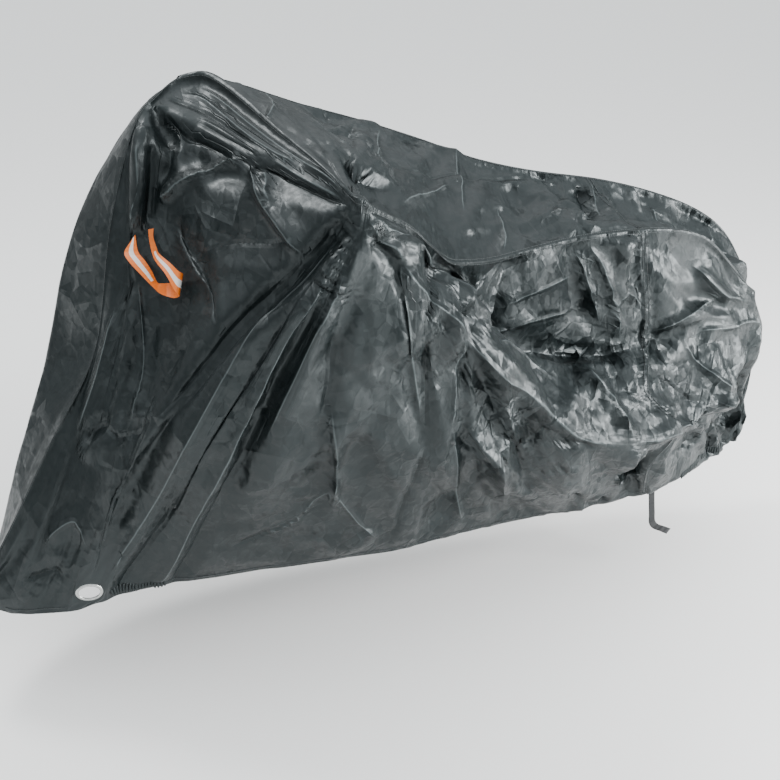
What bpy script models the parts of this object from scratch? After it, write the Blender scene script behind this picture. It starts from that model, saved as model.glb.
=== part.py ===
"""Bicycle cover of coated polyester, hanging on a bicycle that is left out.

Metres, +Z up. X runs along the bicycle with its front wheel towards -X, the
left side of the cover faces -Y, and the origin lies under the top, where the
saddle carries it. The tables below are measured from the ground under the rear
wheel, and REST_POINT is that origin in their frame.

Every panel is one thin closed solid. It is spanned between design lines, which
are a maker's lines on the cover: the seam, the shoulder, the skirt, the hem.
A station number counts along the cover, from the front hem (0) over the
handlebar (5 to 10) to the rear hem (20). The drop counts across a panel, from
its seam (0) down to its hem (1).
"""
import math
from collections import namedtuple

import bmesh
import bpy
import numpy as np

CLOTH_THICKNESS = 0.002
HEM_EXTRA = 0.0008
PANEL_GAP = 0.0006
REST_POINT = (-0.240, -0.050, 0.943)

TOP_START_STATION = 4.7
REAR_SEAM_STATION = 16.0
REAR_STATION = 20.0

# Station steps: fine where the folds fan out from the left grip.
StationRun = namedtuple("StationRun", "start end steps")
STATION_RUNS = (
    StationRun(0.0, 4.7, 15),
    StationRun(4.7, 7.0, 8),
    StationRun(7.0, 11.5, 27),
    StationRun(11.5, 16.0, 14),
    StationRun(16.0, 20.0, 12),
)

LEFT_DROPS = (0.0, 0.13, 0.28, 0.50, 0.76, 1.0)
LEFT_ROWS = (0.0, 0.03, 0.065, 0.10, 0.14, 0.18, 0.23, 0.28, 0.335, 0.39, 0.445, 0.50,
             0.56, 0.62, 0.69, 0.76, 0.83, 0.90, 0.955, 1.0)
RIGHT_DROPS = (0.0, 0.25, 0.62, 1.0)
RIGHT_ROWS = (0.0, 0.06, 0.15, 0.28, 0.45, 0.64, 0.84, 1.0)
TOP_SPREAD = (0.0, 0.5, 1.0)
TOP_ROWS = (0.0, 0.12, 0.30, 0.50, 0.70, 0.88, 1.0)

# A fold stays this far off a seam, so the panels still meet along it.
SEAM_FADE = 0.030

# The eyelet strip fills a notch in the left hem; stations and rows of its grid.
STRIP_START_STATION = 4.1
STRIP_END_STATION = 7.2
STRIP_TOP_DROP = 0.90

EYELET_HALF_WIDTH = 0.0245
EYELET_HALF_HEIGHT = 0.0185
EYELET_FLAT_MARGIN = 0.0070
EYELET_DROP = 0.028
EYELET_SET_BACK = 0.008
EYELET_EVENNESS = 0.7
EYELET_STEPS = 36

LOOP_THICKNESS = 0.0018
STRAP_THICKNESS = 0.0020

Point = namedtuple("Point", "station x y z")
Fold = namedtuple("Fold", "name start middle end width depth")
Rung = namedtuple("Rung", "near_x near_y near_z far_x far_y far_z")

# Left seam: up the front, over the handlebar to the left grip, back along the
# saddle and down the rear.
LEFT_SEAM = (
    Point(0.0, -1.575, -0.120, 0.250),
    Point(0.5, -1.488, -0.142, 0.402),
    Point(1.0, -1.390, -0.125, 0.570),
    Point(2.0, -1.260, -0.070, 0.775),
    Point(3.0, -1.205, -0.020, 1.020),
    Point(4.0, -1.105, 0.050, 1.225),
    Point(4.7, -1.025, 0.130, 1.250),
    Point(5.0, -0.980, 0.120, 1.255),
    Point(6.0, -0.875, -0.170, 1.180),
    Point(7.0, -0.812, -0.400, 1.132),
    Point(9.0, -0.800, -0.430, 1.128),
    Point(10.0, -0.792, -0.428, 1.118),
    Point(11.0, -0.755, -0.405, 1.090),
    Point(12.0, -0.675, -0.350, 1.035),
    Point(13.0, -0.548, -0.270, 0.928),
    Point(14.0, -0.420, -0.218, 0.908),
    Point(15.0, -0.240, -0.170, 0.912),
    Point(16.0, -0.040, -0.130, 0.900),
    Point(17.0, 0.140, -0.080, 0.855),
    Point(18.0, 0.272, -0.050, 0.742),
    Point(18.5, 0.345, -0.020, 0.662),
    Point(19.0, 0.402, 0.010, 0.550),
    Point(19.5, 0.408, 0.030, 0.400),
    Point(20.0, 0.385, 0.040, 0.240),
)

# Where the cloth turns in under the handlebar, and behind the left grip the
# hollow between the saddle and the ridge that the grip pulls up.
LEFT_UPPER = (
    Point(0.0, -1.5735, -0.1245, 0.245),
    Point(0.5, -1.492, -0.161, 0.367),
    Point(1.0, -1.410, -0.158, 0.490),
    Point(2.0, -1.290, -0.110, 0.705),
    Point(3.0, -1.200, -0.070, 0.925),
    Point(4.0, -1.120, 0.000, 1.190),
    Point(5.0, -1.035, -0.020, 1.183),
    Point(6.0, -0.925, -0.250, 1.155),
    Point(7.0, -0.826, -0.420, 1.108),
    Point(9.0, -0.806, -0.440, 1.085),
    Point(10.0, -0.795, -0.440, 1.085),
    Point(11.0, -0.755, -0.425, 1.065),
    Point(12.0, -0.648, -0.345, 1.000),
    Point(13.0, -0.515, -0.245, 0.868),
    Point(14.0, -0.425, -0.200, 0.730),
    Point(15.0, -0.240, -0.180, 0.680),
    Point(16.0, -0.015, -0.150, 0.650),
    Point(17.0, 0.130, -0.130, 0.640),
    Point(18.0, 0.255, -0.090, 0.600),
    Point(19.0, 0.365, -0.025, 0.500),
    Point(20.0, 0.385, 0.035, 0.235),
)

# Front face, then the ridge that runs back and down from the left grip.
LEFT_RIDGE = (
    Point(0.0, -1.571, -0.126, 0.240),
    Point(1.0, -1.430, -0.172, 0.420),
    Point(2.0, -1.325, -0.145, 0.610),
    Point(3.0, -1.225, -0.120, 0.800),
    Point(4.0, -1.150, -0.045, 1.045),
    Point(5.0, -1.105, -0.090, 1.000),
    Point(6.0, -1.000, -0.265, 1.040),
    Point(7.0, -0.930, -0.400, 0.980),
    Point(8.0, -0.895, -0.432, 0.990),
    Point(9.0, -0.850, -0.442, 0.995),
    Point(10.0, -0.797, -0.450, 1.025),
    Point(11.0, -0.748, -0.432, 1.045),
    Point(12.0, -0.655, -0.385, 1.017),
    Point(13.0, -0.550, -0.322, 0.915),
    Point(13.5, -0.497, -0.285, 0.832),
    Point(14.0, -0.440, -0.245, 0.758),
    Point(15.0, -0.255, -0.255, 0.610),
    Point(16.0, -0.060, -0.235, 0.560),
    Point(17.0, 0.115, -0.185, 0.530),
    Point(18.0, 0.240, -0.135, 0.505),
    Point(19.0, 0.358, -0.035, 0.430),
    Point(20.0, 0.385, 0.035, 0.230),
)

# Front face, then the shoulder where the cloth turns down into the skirt.
LEFT_SHOULDER = (
    Point(0.0, -1.569, -0.129, 0.235),
    Point(1.0, -1.455, -0.177, 0.340),
    Point(2.0, -1.370, -0.170, 0.490),
    Point(3.0, -1.285, -0.165, 0.640),
    Point(4.0, -1.200, -0.160, 0.790),
    Point(5.0, -1.150, -0.210, 0.790),
    Point(6.0, -1.100, -0.292, 0.840),
    Point(7.0, -1.060, -0.370, 0.850),
    Point(8.0, -0.985, -0.418, 0.860),
    Point(9.0, -0.905, -0.432, 0.860),
    Point(10.0, -0.803, -0.440, 0.905),
    Point(11.0, -0.728, -0.442, 0.972),
    Point(12.0, -0.655, -0.418, 0.910),
    Point(13.0, -0.555, -0.382, 0.810),
    Point(14.0, -0.430, -0.360, 0.672),
    Point(15.0, -0.280, -0.342, 0.520),
    Point(15.6, -0.120, -0.325, 0.470),
    Point(16.0, 0.020, -0.260, 0.450),
    Point(17.0, 0.120, -0.205, 0.430),
    Point(18.0, 0.215, -0.145, 0.425),
    Point(19.0, 0.345, -0.030, 0.370),
    Point(20.0, 0.383, 0.037, 0.225),
)

LEFT_SKIRT = (
    Point(0.0, -1.566, -0.131, 0.230),
    Point(1.0, -1.480, -0.179, 0.265),
    Point(3.0, -1.355, -0.205, 0.430),
    Point(5.0, -1.280, -0.258, 0.520),
    Point(7.0, -1.225, -0.300, 0.590),
    Point(8.0, -1.120, -0.345, 0.590),
    Point(9.0, -0.990, -0.365, 0.590),
    Point(10.0, -0.830, -0.372, 0.600),
    Point(11.0, -0.705, -0.375, 0.600),
    Point(12.0, -0.590, -0.360, 0.580),
    Point(13.0, -0.490, -0.340, 0.510),
    Point(14.0, -0.380, -0.325, 0.440),
    Point(15.0, -0.245, -0.300, 0.370),
    Point(16.0, -0.020, -0.220, 0.335),
    Point(17.0, 0.095, -0.165, 0.325),
    Point(18.0, 0.225, -0.095, 0.320),
    Point(19.0, 0.338, -0.015, 0.290),
    Point(20.0, 0.381, 0.038, 0.220),
)

LEFT_HEM = (
    Point(0.0, -1.563, -0.132, 0.220),
    Point(1.0, -1.504, -0.170, 0.212),
    Point(3.0, -1.428, -0.200, 0.216),
    Point(5.0, -1.375, -0.210, 0.218),
    Point(7.0, -1.327, -0.210, 0.228),
    Point(8.0, -1.205, -0.200, 0.235),
    Point(9.0, -1.050, -0.200, 0.233),
    Point(10.0, -0.860, -0.200, 0.229),
    Point(11.0, -0.670, -0.200, 0.224),
    Point(12.0, -0.515, -0.190, 0.225),
    Point(14.0, -0.275, -0.182, 0.225),
    Point(15.0, -0.160, -0.176, 0.222),
    Point(16.0, 0.010, -0.155, 0.218),
    Point(17.0, 0.120, -0.110, 0.214),
    Point(18.0, 0.245, -0.050, 0.207),
    Point(19.0, 0.330, -0.005, 0.208),
    Point(20.0, 0.380, 0.040, 0.214),
)

# Right edge of the top panel: the taut line from the right grip to the saddle,
# over the rack and down the rear.
RIGHT_SEAM = (
    Point(4.7, -1.022, 0.133, 1.250),
    Point(5.0, -0.975, 0.185, 1.247),
    Point(6.0, -0.880, 0.192, 1.222),
    Point(7.0, -0.820, 0.182, 1.200),
    Point(10.0, -0.755, 0.172, 1.176),
    Point(12.0, -0.620, 0.150, 1.134),
    Point(13.0, -0.485, 0.122, 1.086),
    Point(14.0, -0.355, 0.090, 1.036),
    Point(15.0, -0.220, 0.070, 1.002),
    Point(16.0, -0.095, 0.055, 0.980),
    Point(17.0, 0.090, 0.060, 0.925),
    Point(18.0, 0.268, 0.070, 0.836),
    Point(18.5, 0.352, 0.080, 0.745),
    Point(19.0, 0.412, 0.095, 0.610),
    Point(19.5, 0.415, 0.112, 0.430),
    Point(20.0, 0.385, 0.125, 0.240),
)

# The right panel bulges ahead of the front seam, then hangs straight.
RIGHT_HIP = (
    Point(0.0, -1.572, -0.110, 0.242),
    Point(0.5, -1.510, -0.085, 0.350),
    Point(1.0, -1.455, -0.030, 0.500),
    Point(2.0, -1.360, 0.040, 0.700),
    Point(3.0, -1.280, 0.105, 0.940),
    Point(4.0, -1.158, 0.165, 1.125),
    Point(4.5, -1.095, 0.195, 1.180),
    Point(5.0, -1.000, 0.250, 1.120),
    Point(7.0, -0.850, 0.255, 1.050),
    Point(10.0, -0.755, 0.245, 1.000),
    Point(13.0, -0.500, 0.230, 0.890),
    Point(16.0, -0.090, 0.190, 0.770),
    Point(17.0, 0.090, 0.180, 0.700),
    Point(18.0, 0.235, 0.165, 0.600),
    Point(19.0, 0.345, 0.140, 0.480),
    Point(20.0, 0.385, 0.128, 0.235),
)

RIGHT_SKIRT = (
    Point(0.0, -1.568, -0.110, 0.232),
    Point(1.0, -1.490, -0.020, 0.360),
    Point(3.0, -1.330, 0.130, 0.560),
    Point(5.0, -1.110, 0.250, 0.620),
    Point(7.0, -0.940, 0.285, 0.610),
    Point(10.0, -0.790, 0.295, 0.600),
    Point(13.0, -0.490, 0.280, 0.530),
    Point(16.0, -0.070, 0.245, 0.450),
    Point(18.0, 0.210, 0.185, 0.390),
    Point(19.0, 0.325, 0.145, 0.340),
    Point(20.0, 0.383, 0.127, 0.225),
)

RIGHT_HEM = (
    Point(0.0, -1.564, -0.108, 0.222),
    Point(1.0, -1.530, -0.040, 0.220),
    Point(3.0, -1.400, 0.080, 0.220),
    Point(5.0, -1.200, 0.160, 0.222),
    Point(7.0, -1.010, 0.190, 0.224),
    Point(10.0, -0.850, 0.205, 0.224),
    Point(13.0, -0.500, 0.205, 0.222),
    Point(16.0, -0.060, 0.185, 0.218),
    Point(18.0, 0.200, 0.145, 0.212),
    Point(19.0, 0.320, 0.120, 0.210),
    Point(20.0, 0.381, 0.122, 0.214),
)

# How far the middle of the top panel stands above the line between its seams.
Crown = namedtuple("Crown", "station rise")
TOP_CROWN = (
    Crown(4.7, 0.000),
    Crown(7.0, -0.020),
    Crown(10.0, -0.026),
    Crown(13.0, -0.012),
    Crown(15.0, 0.012),
    Crown(17.0, 0.030),
    Crown(18.5, 0.028),
    Crown(19.5, 0.015),
    Crown(20.0, 0.004),
)


# Main folds of each side. Ends and middle are (station, drop); a positive depth
# is a trough and a negative one a ridge.
LEFT_FOLDS = (
    Fold("long trough from the grip", (7.30, 0.12), (6.95, 0.42), (7.05, 0.96), 0.022, 0.026),
    Fold("light ridge beside it", (8.05, 0.16), (8.15, 0.42), (7.90, 0.94), 0.020, -0.016),
    Fold("second trough", (8.50, 0.22), (8.60, 0.55), (8.80, 0.97), 0.022, 0.013),
    Fold("soft ridge", (8.95, 0.25), (9.05, 0.60), (9.35, 0.97), 0.028, -0.010),
    Fold("third trough", (9.40, 0.30), (9.62, 0.62), (9.95, 0.97), 0.028, 0.010),
    Fold("pleat", (9.72, 0.66), (9.95, 0.78), (10.15, 0.92), 0.016, -0.010),
    Fold("trough under the shoulder", (10.45, 0.08), (11.10, 0.56), (11.50, 0.80), 0.018, 0.014),
    Fold("skirt ridge", (11.70, 0.56), (11.85, 0.70), (11.80, 0.90), 0.018, -0.008),
    Fold("middle trough", (12.60, 0.56), (12.50, 0.70), (12.30, 0.92), 0.022, 0.010),
    Fold("face ridge to the front", (5.70, 0.14), (5.34, 0.19), (4.60, 0.245), 0.016, -0.014),
    Fold("face ridge to the grip", (5.66, 0.15), (6.14, 0.20), (6.78, 0.235), 0.018, -0.014),
    Fold("face ridge down", (5.15, 0.26), (5.60, 0.36), (6.50, 0.47), 0.020, -0.014),
    Fold("hollow under the handlebar", (4.90, 0.165), (5.50, 0.185), (6.20, 0.165), 0.022, 0.016),
    Fold("pinch under the right grip", (4.22, 0.045), (4.34, 0.10), (4.60, 0.17), 0.016, 0.016),
    Fold("front column", (3.95, 0.10), (3.95, 0.22), (4.10, 0.34), 0.018, -0.014),
    Fold("lower face trough", (3.20, 0.30), (4.10, 0.45), (4.60, 0.60), 0.022, 0.012),
    Fold("wheel ridge", (2.20, 0.42), (3.20, 0.60), (4.90, 0.66), 0.022, -0.010),
    Fold("hollow beside the saddle", (13.95, 0.155), (15.20, 0.150), (16.80, 0.145), 0.030, 0.018),
    Fold("ridge up to the saddle", (15.60, 0.50), (15.44, 0.35), (15.34, 0.24), 0.018, -0.012),
    Fold("ridge to the rear", (15.60, 0.50), (15.95, 0.50), (16.80, 0.50), 0.018, -0.010),
    Fold("ridge to the hem", (15.62, 0.50), (15.60, 0.68), (15.58, 0.90), 0.018, -0.012),
    Fold("front ridge under the saddle", (15.05, 0.015), (15.22, 0.045), (15.42, 0.105), 0.014, -0.010),
    Fold("rear ridge under the saddle", (15.27, 0.012), (15.48, 0.050), (15.58, 0.130), 0.014, -0.010),
    Fold("rear crest", (17.02, 0.035), (17.56, 0.060), (18.40, 0.045), 0.020, -0.014),
    Fold("rear hollow", (16.50, 0.070), (17.20, 0.085), (17.90, 0.085), 0.020, 0.012),
    Fold("low rear ridge", (16.12, 0.130), (17.00, 0.110), (18.30, 0.100), 0.020, -0.012),
    Fold("rear hem trough", (16.60, 0.60), (17.20, 0.70), (17.90, 0.80), 0.022, 0.012),
    Fold("last rear trough", (18.10, 0.30), (18.60, 0.50), (18.80, 0.85), 0.020, 0.010),
)

TOP_FOLDS = (
    Fold("diamond front", (10.05, 0.34), (9.70, 0.20), (8.95, 0.06), 0.018, 0.012),
    Fold("diamond back", (10.90, 0.27), (10.30, 0.17), (9.30, 0.06), 0.018, -0.010),
    Fold("long packing fold", (10.90, 0.24), (13.00, 0.60), (15.10, 0.88), 0.014, -0.006),
    Fold("pinch by the saddle", (15.75, 0.86), (15.62, 0.55), (15.42, 0.18), 0.020, 0.016),
    Fold("ridge by the pinch", (16.10, 0.80), (15.98, 0.50), (15.80, 0.22), 0.018, -0.012),
    Fold("middle ridge", (13.30, 0.18), (13.60, 0.42), (14.10, 0.80), 0.024, -0.010),
    Fold("saddle trough", (14.40, 0.15), (14.50, 0.50), (14.60, 0.85), 0.026, 0.010),
    Fold("rack ridge", (17.20, 0.15), (17.10, 0.50), (16.95, 0.85), 0.024, -0.010),
)

RIGHT_FOLDS = (
    Fold("front fall of the right grip", (4.60, 0.06), (3.90, 0.45), (3.10, 0.95), 0.030, 0.018),
    Fold("ridge of the right grip", (5.00, 0.08), (4.90, 0.50), (4.70, 0.95), 0.032, -0.016),
    Fold("rear fall of the right grip", (5.60, 0.08), (6.10, 0.50), (6.60, 0.95), 0.032, 0.018),
    Fold("long sweep to the hem", (6.60, 0.10), (8.60, 0.45), (11.00, 0.90), 0.034, -0.014),
    Fold("middle fall", (12.60, 0.10), (12.20, 0.50), (11.80, 0.95), 0.036, 0.014),
    Fold("saddle fall", (14.90, 0.06), (14.50, 0.50), (14.00, 0.95), 0.034, -0.014),
    Fold("rack fall", (16.60, 0.08), (16.80, 0.50), (17.20, 0.92), 0.032, 0.014),
)


def smooth_curve(knots, values, samples):
    """Monotone cubic curve through values at knots, read at samples."""
    knots = np.asarray(knots, float)
    values = np.asarray(values, float)
    span = np.diff(knots)
    slope = np.diff(values, axis=0) / span[:, None]
    tangent = np.zeros_like(values)
    before = slope[:-1]
    after = slope[1:]
    weight_before = (2.0 * span[1:] + span[:-1])[:, None]
    weight_after = (span[1:] + 2.0 * span[:-1])[:, None]
    rising = before * after > 0.0
    safe_before = np.where(rising, before, 1.0)
    safe_after = np.where(rising, after, 1.0)
    mean = (weight_before + weight_after) / (weight_before / safe_before + weight_after / safe_after)
    tangent[1:-1] = np.where(rising, mean, 0.0)
    tangent[0] = slope[0]
    tangent[-1] = slope[-1]
    samples = np.clip(np.asarray(samples, float), knots[0], knots[-1])
    index = np.clip(np.searchsorted(knots, samples, side="right") - 1, 0, len(span) - 1)
    step = span[index][:, None]
    t = ((samples - knots[index]) / span[index])[:, None]
    return ((2 * t**3 - 3 * t**2 + 1) * values[index] + (t**3 - 2 * t**2 + t) * step * tangent[index]
            + (3 * t**2 - 2 * t**3) * values[index + 1] + (t**3 - t**2) * step * tangent[index + 1])


def read_line(line, stations):
    """Places on one design line at the given stations."""
    knots = [point.station for point in line]
    return smooth_curve(knots, [point[1:] for point in line], stations)


def span_rows(lines, drops, stations, spots):
    """Grid [station, row] of places spanned across lines read at the stations."""
    columns = np.stack(lines, axis=1)
    grid = np.empty((len(stations), len(spots), 3))
    for index, column in enumerate(columns):
        grid[index] = smooth_curve(drops, column, spots)
    return grid


def top_lines(stations):
    """Left seam, crown line and right seam of the top panel."""
    left = read_line(LEFT_SEAM, stations)
    right = read_line(RIGHT_SEAM, stations)
    rise = smooth_curve([row.station for row in TOP_CROWN], [[row.rise] for row in TOP_CROWN], stations)
    along = np.gradient(left + right, axis=0)
    up = np.cross(along, left - right)
    up /= np.linalg.norm(up, axis=1)[:, None]
    return left, (left + right) / 2.0 + up * rise, right


def left_surface(stations, spots):
    """The whole left side, from its seam to its hem."""
    tables = (LEFT_SEAM, LEFT_UPPER, LEFT_RIDGE, LEFT_SHOULDER, LEFT_SKIRT, LEFT_HEM)
    lines = [read_line(table, stations) for table in tables]
    return span_rows(lines, LEFT_DROPS, stations, spots)


def right_surface(stations, spots):
    """The whole right side, from the front seam and its own seam to its hem."""
    ahead = (stations < TOP_START_STATION)[:, None]
    seam = np.where(ahead, read_line(LEFT_SEAM, stations), read_line(RIGHT_SEAM, stations))
    lines = [seam] + [read_line(table, stations) for table in (RIGHT_HIP, RIGHT_SKIRT, RIGHT_HEM)]
    return span_rows(lines, RIGHT_DROPS, stations, spots)


def top_surface(stations, spots):
    """The top panel, from the left seam across to the right one."""
    left, crown, right = top_lines(stations)
    grid = np.empty((len(stations), len(spots), 3))
    for index in range(len(stations)):
        grid[index] = smooth_curve(TOP_SPREAD, (left[index], crown[index], right[index]), spots)
    return grid


def grid_normals(grid, outward):
    """Unit normals of a grid; outward is 1 or -1 to face them out of the cover."""
    along = np.gradient(grid, axis=0)
    across = np.gradient(grid, axis=1)
    normal = np.cross(along, across) * outward
    return normal / np.linalg.norm(normal, axis=2)[:, :, None]


def fold_route(grid, stations, spots, fold, count=25):
    """Places along a fold's centre line on a grid, and how full it is there."""
    t = np.linspace(0.0, 1.0, count)
    ends = np.array((fold.start, fold.middle, fold.end))
    bow = smooth_curve((0.0, 0.5, 1.0), ends, t)
    column = np.interp(bow[:, 0], stations, np.arange(len(stations)))
    row = np.interp(bow[:, 1], spots, np.arange(len(spots)))
    left = np.minimum(column.astype(int), len(stations) - 2)
    top = np.minimum(row.astype(int), len(spots) - 2)
    across = (column - left)[:, None]
    down = (row - top)[:, None]
    route = ((grid[left, top] * (1.0 - across) + grid[left + 1, top] * across) * (1.0 - down)
             + (grid[left, top + 1] * (1.0 - across) + grid[left + 1, top + 1] * across) * down)
    fullness = np.clip(np.minimum(t / 0.15, (1.0 - t) / 0.22), 0.0, 1.0)
    return route, fullness * fullness * (3.0 - 2.0 * fullness)


def fold_shift(grid, stations, spots, folds, seam_sides):
    """How far each place of a grid moves inward under its folds."""
    shift = np.zeros(grid.shape[:2])
    flat = grid.reshape(-1, 3)
    for fold in folds:
        route, fullness = fold_route(grid, stations, spots, fold)
        gap = np.linalg.norm(flat[:, None, :] - route[None, :, :], axis=2)
        nearest = np.argmin(gap, axis=1)
        reach = gap[np.arange(len(flat)), nearest]
        swell = np.exp(-(reach / fold.width) ** 2) * fullness[nearest]
        shift += (fold.depth * swell).reshape(shift.shape)
    for side in seam_sides:
        away = np.linalg.norm(grid - grid[:, side:side + 1] if side == 0 else grid - grid[:, -1:], axis=2)
        ease = np.clip(away / SEAM_FADE, 0.0, 1.0)
        shift *= ease * ease * (3.0 - 2.0 * ease)
    return shift


def all_stations():
    """Every station of the grids, finer where the folds fan out."""
    runs = [np.linspace(run.start, run.end, run.steps + 1)[:-1] for run in STATION_RUNS]
    return np.concatenate(runs + [np.array([REAR_STATION])])


def folded(grid, normals, stations, spots, folds, seam_sides):
    """A grid with its folds pressed in along its normals."""
    shift = fold_shift(grid, stations, spots, folds, seam_sides)
    return grid - normals * shift[:, :, None]


def build_sides(stations):
    """Folded grids and normals of the left, right and top surfaces.

    Where two of them meet at a seam they share one normal, so their solids
    meet edge to edge.
    """
    left_spots = np.array(LEFT_ROWS)
    right_spots = np.array(RIGHT_ROWS)
    top_spots = np.array(TOP_ROWS)
    start = int(np.argmin(np.abs(stations - TOP_START_STATION)))
    top_stations = stations[start:]
    left = left_surface(stations, left_spots)
    right = right_surface(stations, right_spots)
    top = top_surface(top_stations, top_spots)
    left = folded(left, grid_normals(left, -1), stations, left_spots, LEFT_FOLDS, (0,))
    right = folded(right, grid_normals(right, 1), stations, right_spots, RIGHT_FOLDS, (0,))
    top = folded(top, grid_normals(top, 1), top_stations, top_spots, TOP_FOLDS, (0, -1))
    left_normal = grid_normals(left, -1)
    right_normal = grid_normals(right, 1)
    top_normal = grid_normals(top, 1)
    share_normals(left_normal[start:, 0], top_normal[:, 0])
    share_normals(right_normal[start:, 0], top_normal[:, -1])
    share_normals(left_normal[:start, 0], right_normal[:start, 0])
    share_normals(left_normal[start, 0:1], right_normal[start, 0:1])
    top_normal[0, :] = left_normal[start, 0]
    return (left, left_normal), (right, right_normal), (top, top_normal), start


def share_normals(one, other):
    """Give two rows of normals their common direction, in place."""
    both = one + other
    both /= np.linalg.norm(both, axis=1)[:, None]
    one[:] = both
    other[:] = both


def trim_edges(grid, normals, edges, amount):
    """Draw named edges of a grid in by an amount, along the cloth."""
    grid = grid.copy()
    picks = {
        "first": (np.s_[0, :], np.s_[1, :]),
        "last": (np.s_[-1, :], np.s_[-2, :]),
        "top": (np.s_[:, 0], np.s_[:, 1]),
        "bottom": (np.s_[:, -1], np.s_[:, -2]),
    }
    moves = []
    for edge in edges:
        rim, inside = picks[edge]
        run = np.gradient(grid[rim], axis=0)
        inward = np.cross(normals[rim], run)
        inward /= np.linalg.norm(inward, axis=1)[:, None]
        facing = np.sign(np.sum(inward * (grid[inside] - grid[rim]), axis=1))
        facing[facing == 0.0] = 1.0
        middle = facing[len(facing) // 2]
        moves.append((rim, inward * middle * amount))
    for rim, move in moves:
        grid[rim] += move
    return grid


def sheet_object(name, outer, normals, thickness, hem_rows, material, skip=None):
    """One closed solid: an outer grid, its inner offset and the walls between.

    Both faces are split along the same diagonals, so they stay one thickness
    apart where the cloth twists. skip is a (first column, last column, first
    row) notch left out of the grid, down to its last row.
    """
    columns, rows = outer.shape[:2]
    depth = np.full(rows, thickness)
    depth[rows - hem_rows:] += HEM_EXTRA
    inner = outer - normals * depth[None, :, None]
    mesh = bmesh.new()
    active = np.ones((columns - 1, rows - 1), bool)
    if skip:
        active[skip[0]:skip[1], skip[2]:] = False
    corners = {}

    def corner(side, i, j):
        key = (side, i, j)
        if key not in corners:
            place = (outer if side == 0 else inner)[i, j] - np.array(REST_POINT)
            corners[key] = mesh.verts.new(place)
        return corners[key]

    for i, j in np.argwhere(active):
        ring = ((i, j), (i + 1, j), (i + 1, j + 1), (i, j + 1))
        one = np.linalg.norm(outer[ring[0]] - outer[ring[2]])
        other = np.linalg.norm(outer[ring[1]] - outer[ring[3]])
        halves = ((0, 1, 2), (0, 2, 3)) if one <= other else ((0, 1, 3), (1, 2, 3))
        for half in halves:
            mesh.faces.new([corner(0, *ring[k]) for k in half])
            mesh.faces.new([corner(1, *ring[k]) for k in reversed(half)])
        for start, end, cell in ((ring[0], ring[1], (i, j - 1)), (ring[1], ring[2], (i + 1, j)),
                                 (ring[2], ring[3], (i, j + 1)), (ring[3], ring[0], (i - 1, j))):
            inside = 0 <= cell[0] < columns - 1 and 0 <= cell[1] < rows - 1
            if not (inside and active[cell]):
                mesh.faces.new([corner(0, *end), corner(0, *start), corner(1, *start), corner(1, *end)])
    return finish_mesh(name, mesh, material)


def finish_mesh(name, mesh, material, smooth_angle=60.0):
    """Turn a bmesh into a named, outward-facing object with its material."""
    bmesh.ops.recalc_face_normals(mesh, faces=mesh.faces)
    data = bpy.data.meshes.new(name)
    mesh.to_mesh(data)
    mesh.free()
    data.shade_smooth()
    data.set_sharp_from_angle(angle=math.radians(smooth_angle))
    data.materials.append(material)
    piece = bpy.data.objects.new(name, data)
    bpy.context.scene.collection.objects.link(piece)
    return piece


def make_material(name, color, roughness, metallic=0.0):
    """A plain Principled material in linear colour."""
    material = bpy.data.materials.new(name)
    material.use_nodes = True
    shader = material.node_tree.nodes["Principled BSDF"]
    shader.inputs["Base Color"].default_value = (*color, 1.0)
    shader.inputs["Roughness"].default_value = roughness
    shader.inputs["Metallic"].default_value = metallic
    return material


def notch_cells(stations):
    """Columns and first row of the notch that the eyelet strip fills."""
    first = int(np.argmin(np.abs(stations - STRIP_START_STATION)))
    last = int(np.argmin(np.abs(stations - STRIP_END_STATION)))
    row = int(np.argmin(np.abs(np.array(LEFT_ROWS) - STRIP_TOP_DROP)))
    return first, last, row


class EyeletPlane:
    """The flat of the eyelet: its centre, its two axes and its outward normal."""

    def __init__(self, rim, normals):
        self.normal = normals.mean(axis=0)
        self.normal /= np.linalg.norm(self.normal)
        across = np.cross((0.0, 0.0, 1.0), self.normal)
        self.across = across / np.linalg.norm(across)
        self.upright = np.cross(self.normal, self.across)
        self.center = rim.mean(axis=0) - self.upright * EYELET_DROP - self.across * EYELET_SET_BACK

    def place(self, angle, offset, height):
        """A place beside the oval: offset outward from its edge, height off the cloth."""
        width = EYELET_HALF_WIDTH
        tall = EYELET_HALF_HEIGHT
        lean = np.array((tall * math.cos(angle), width * math.sin(angle)))
        lean /= np.linalg.norm(lean)
        side = width * math.cos(angle) + offset * lean[0]
        rise = tall * math.sin(angle) + offset * lean[1]
        return self.center + self.across * side + self.upright * rise + self.normal * height

    def facing_angles(self, rim):
        """The oval's angles that face a rim, drawn towards an even spacing."""
        away = rim - self.center
        side = away @ self.across / EYELET_HALF_WIDTH
        rise = away @ self.upright / EYELET_HALF_HEIGHT
        facing = np.unwrap(np.arctan2(rise, side))
        turn = math.copysign(2.0 * math.pi, facing[-1] - facing[0])
        even = np.arange(len(rim)) * turn / len(rim)
        even += (facing - even).mean()
        return facing + (even - facing) * EYELET_EVENNESS


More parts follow.
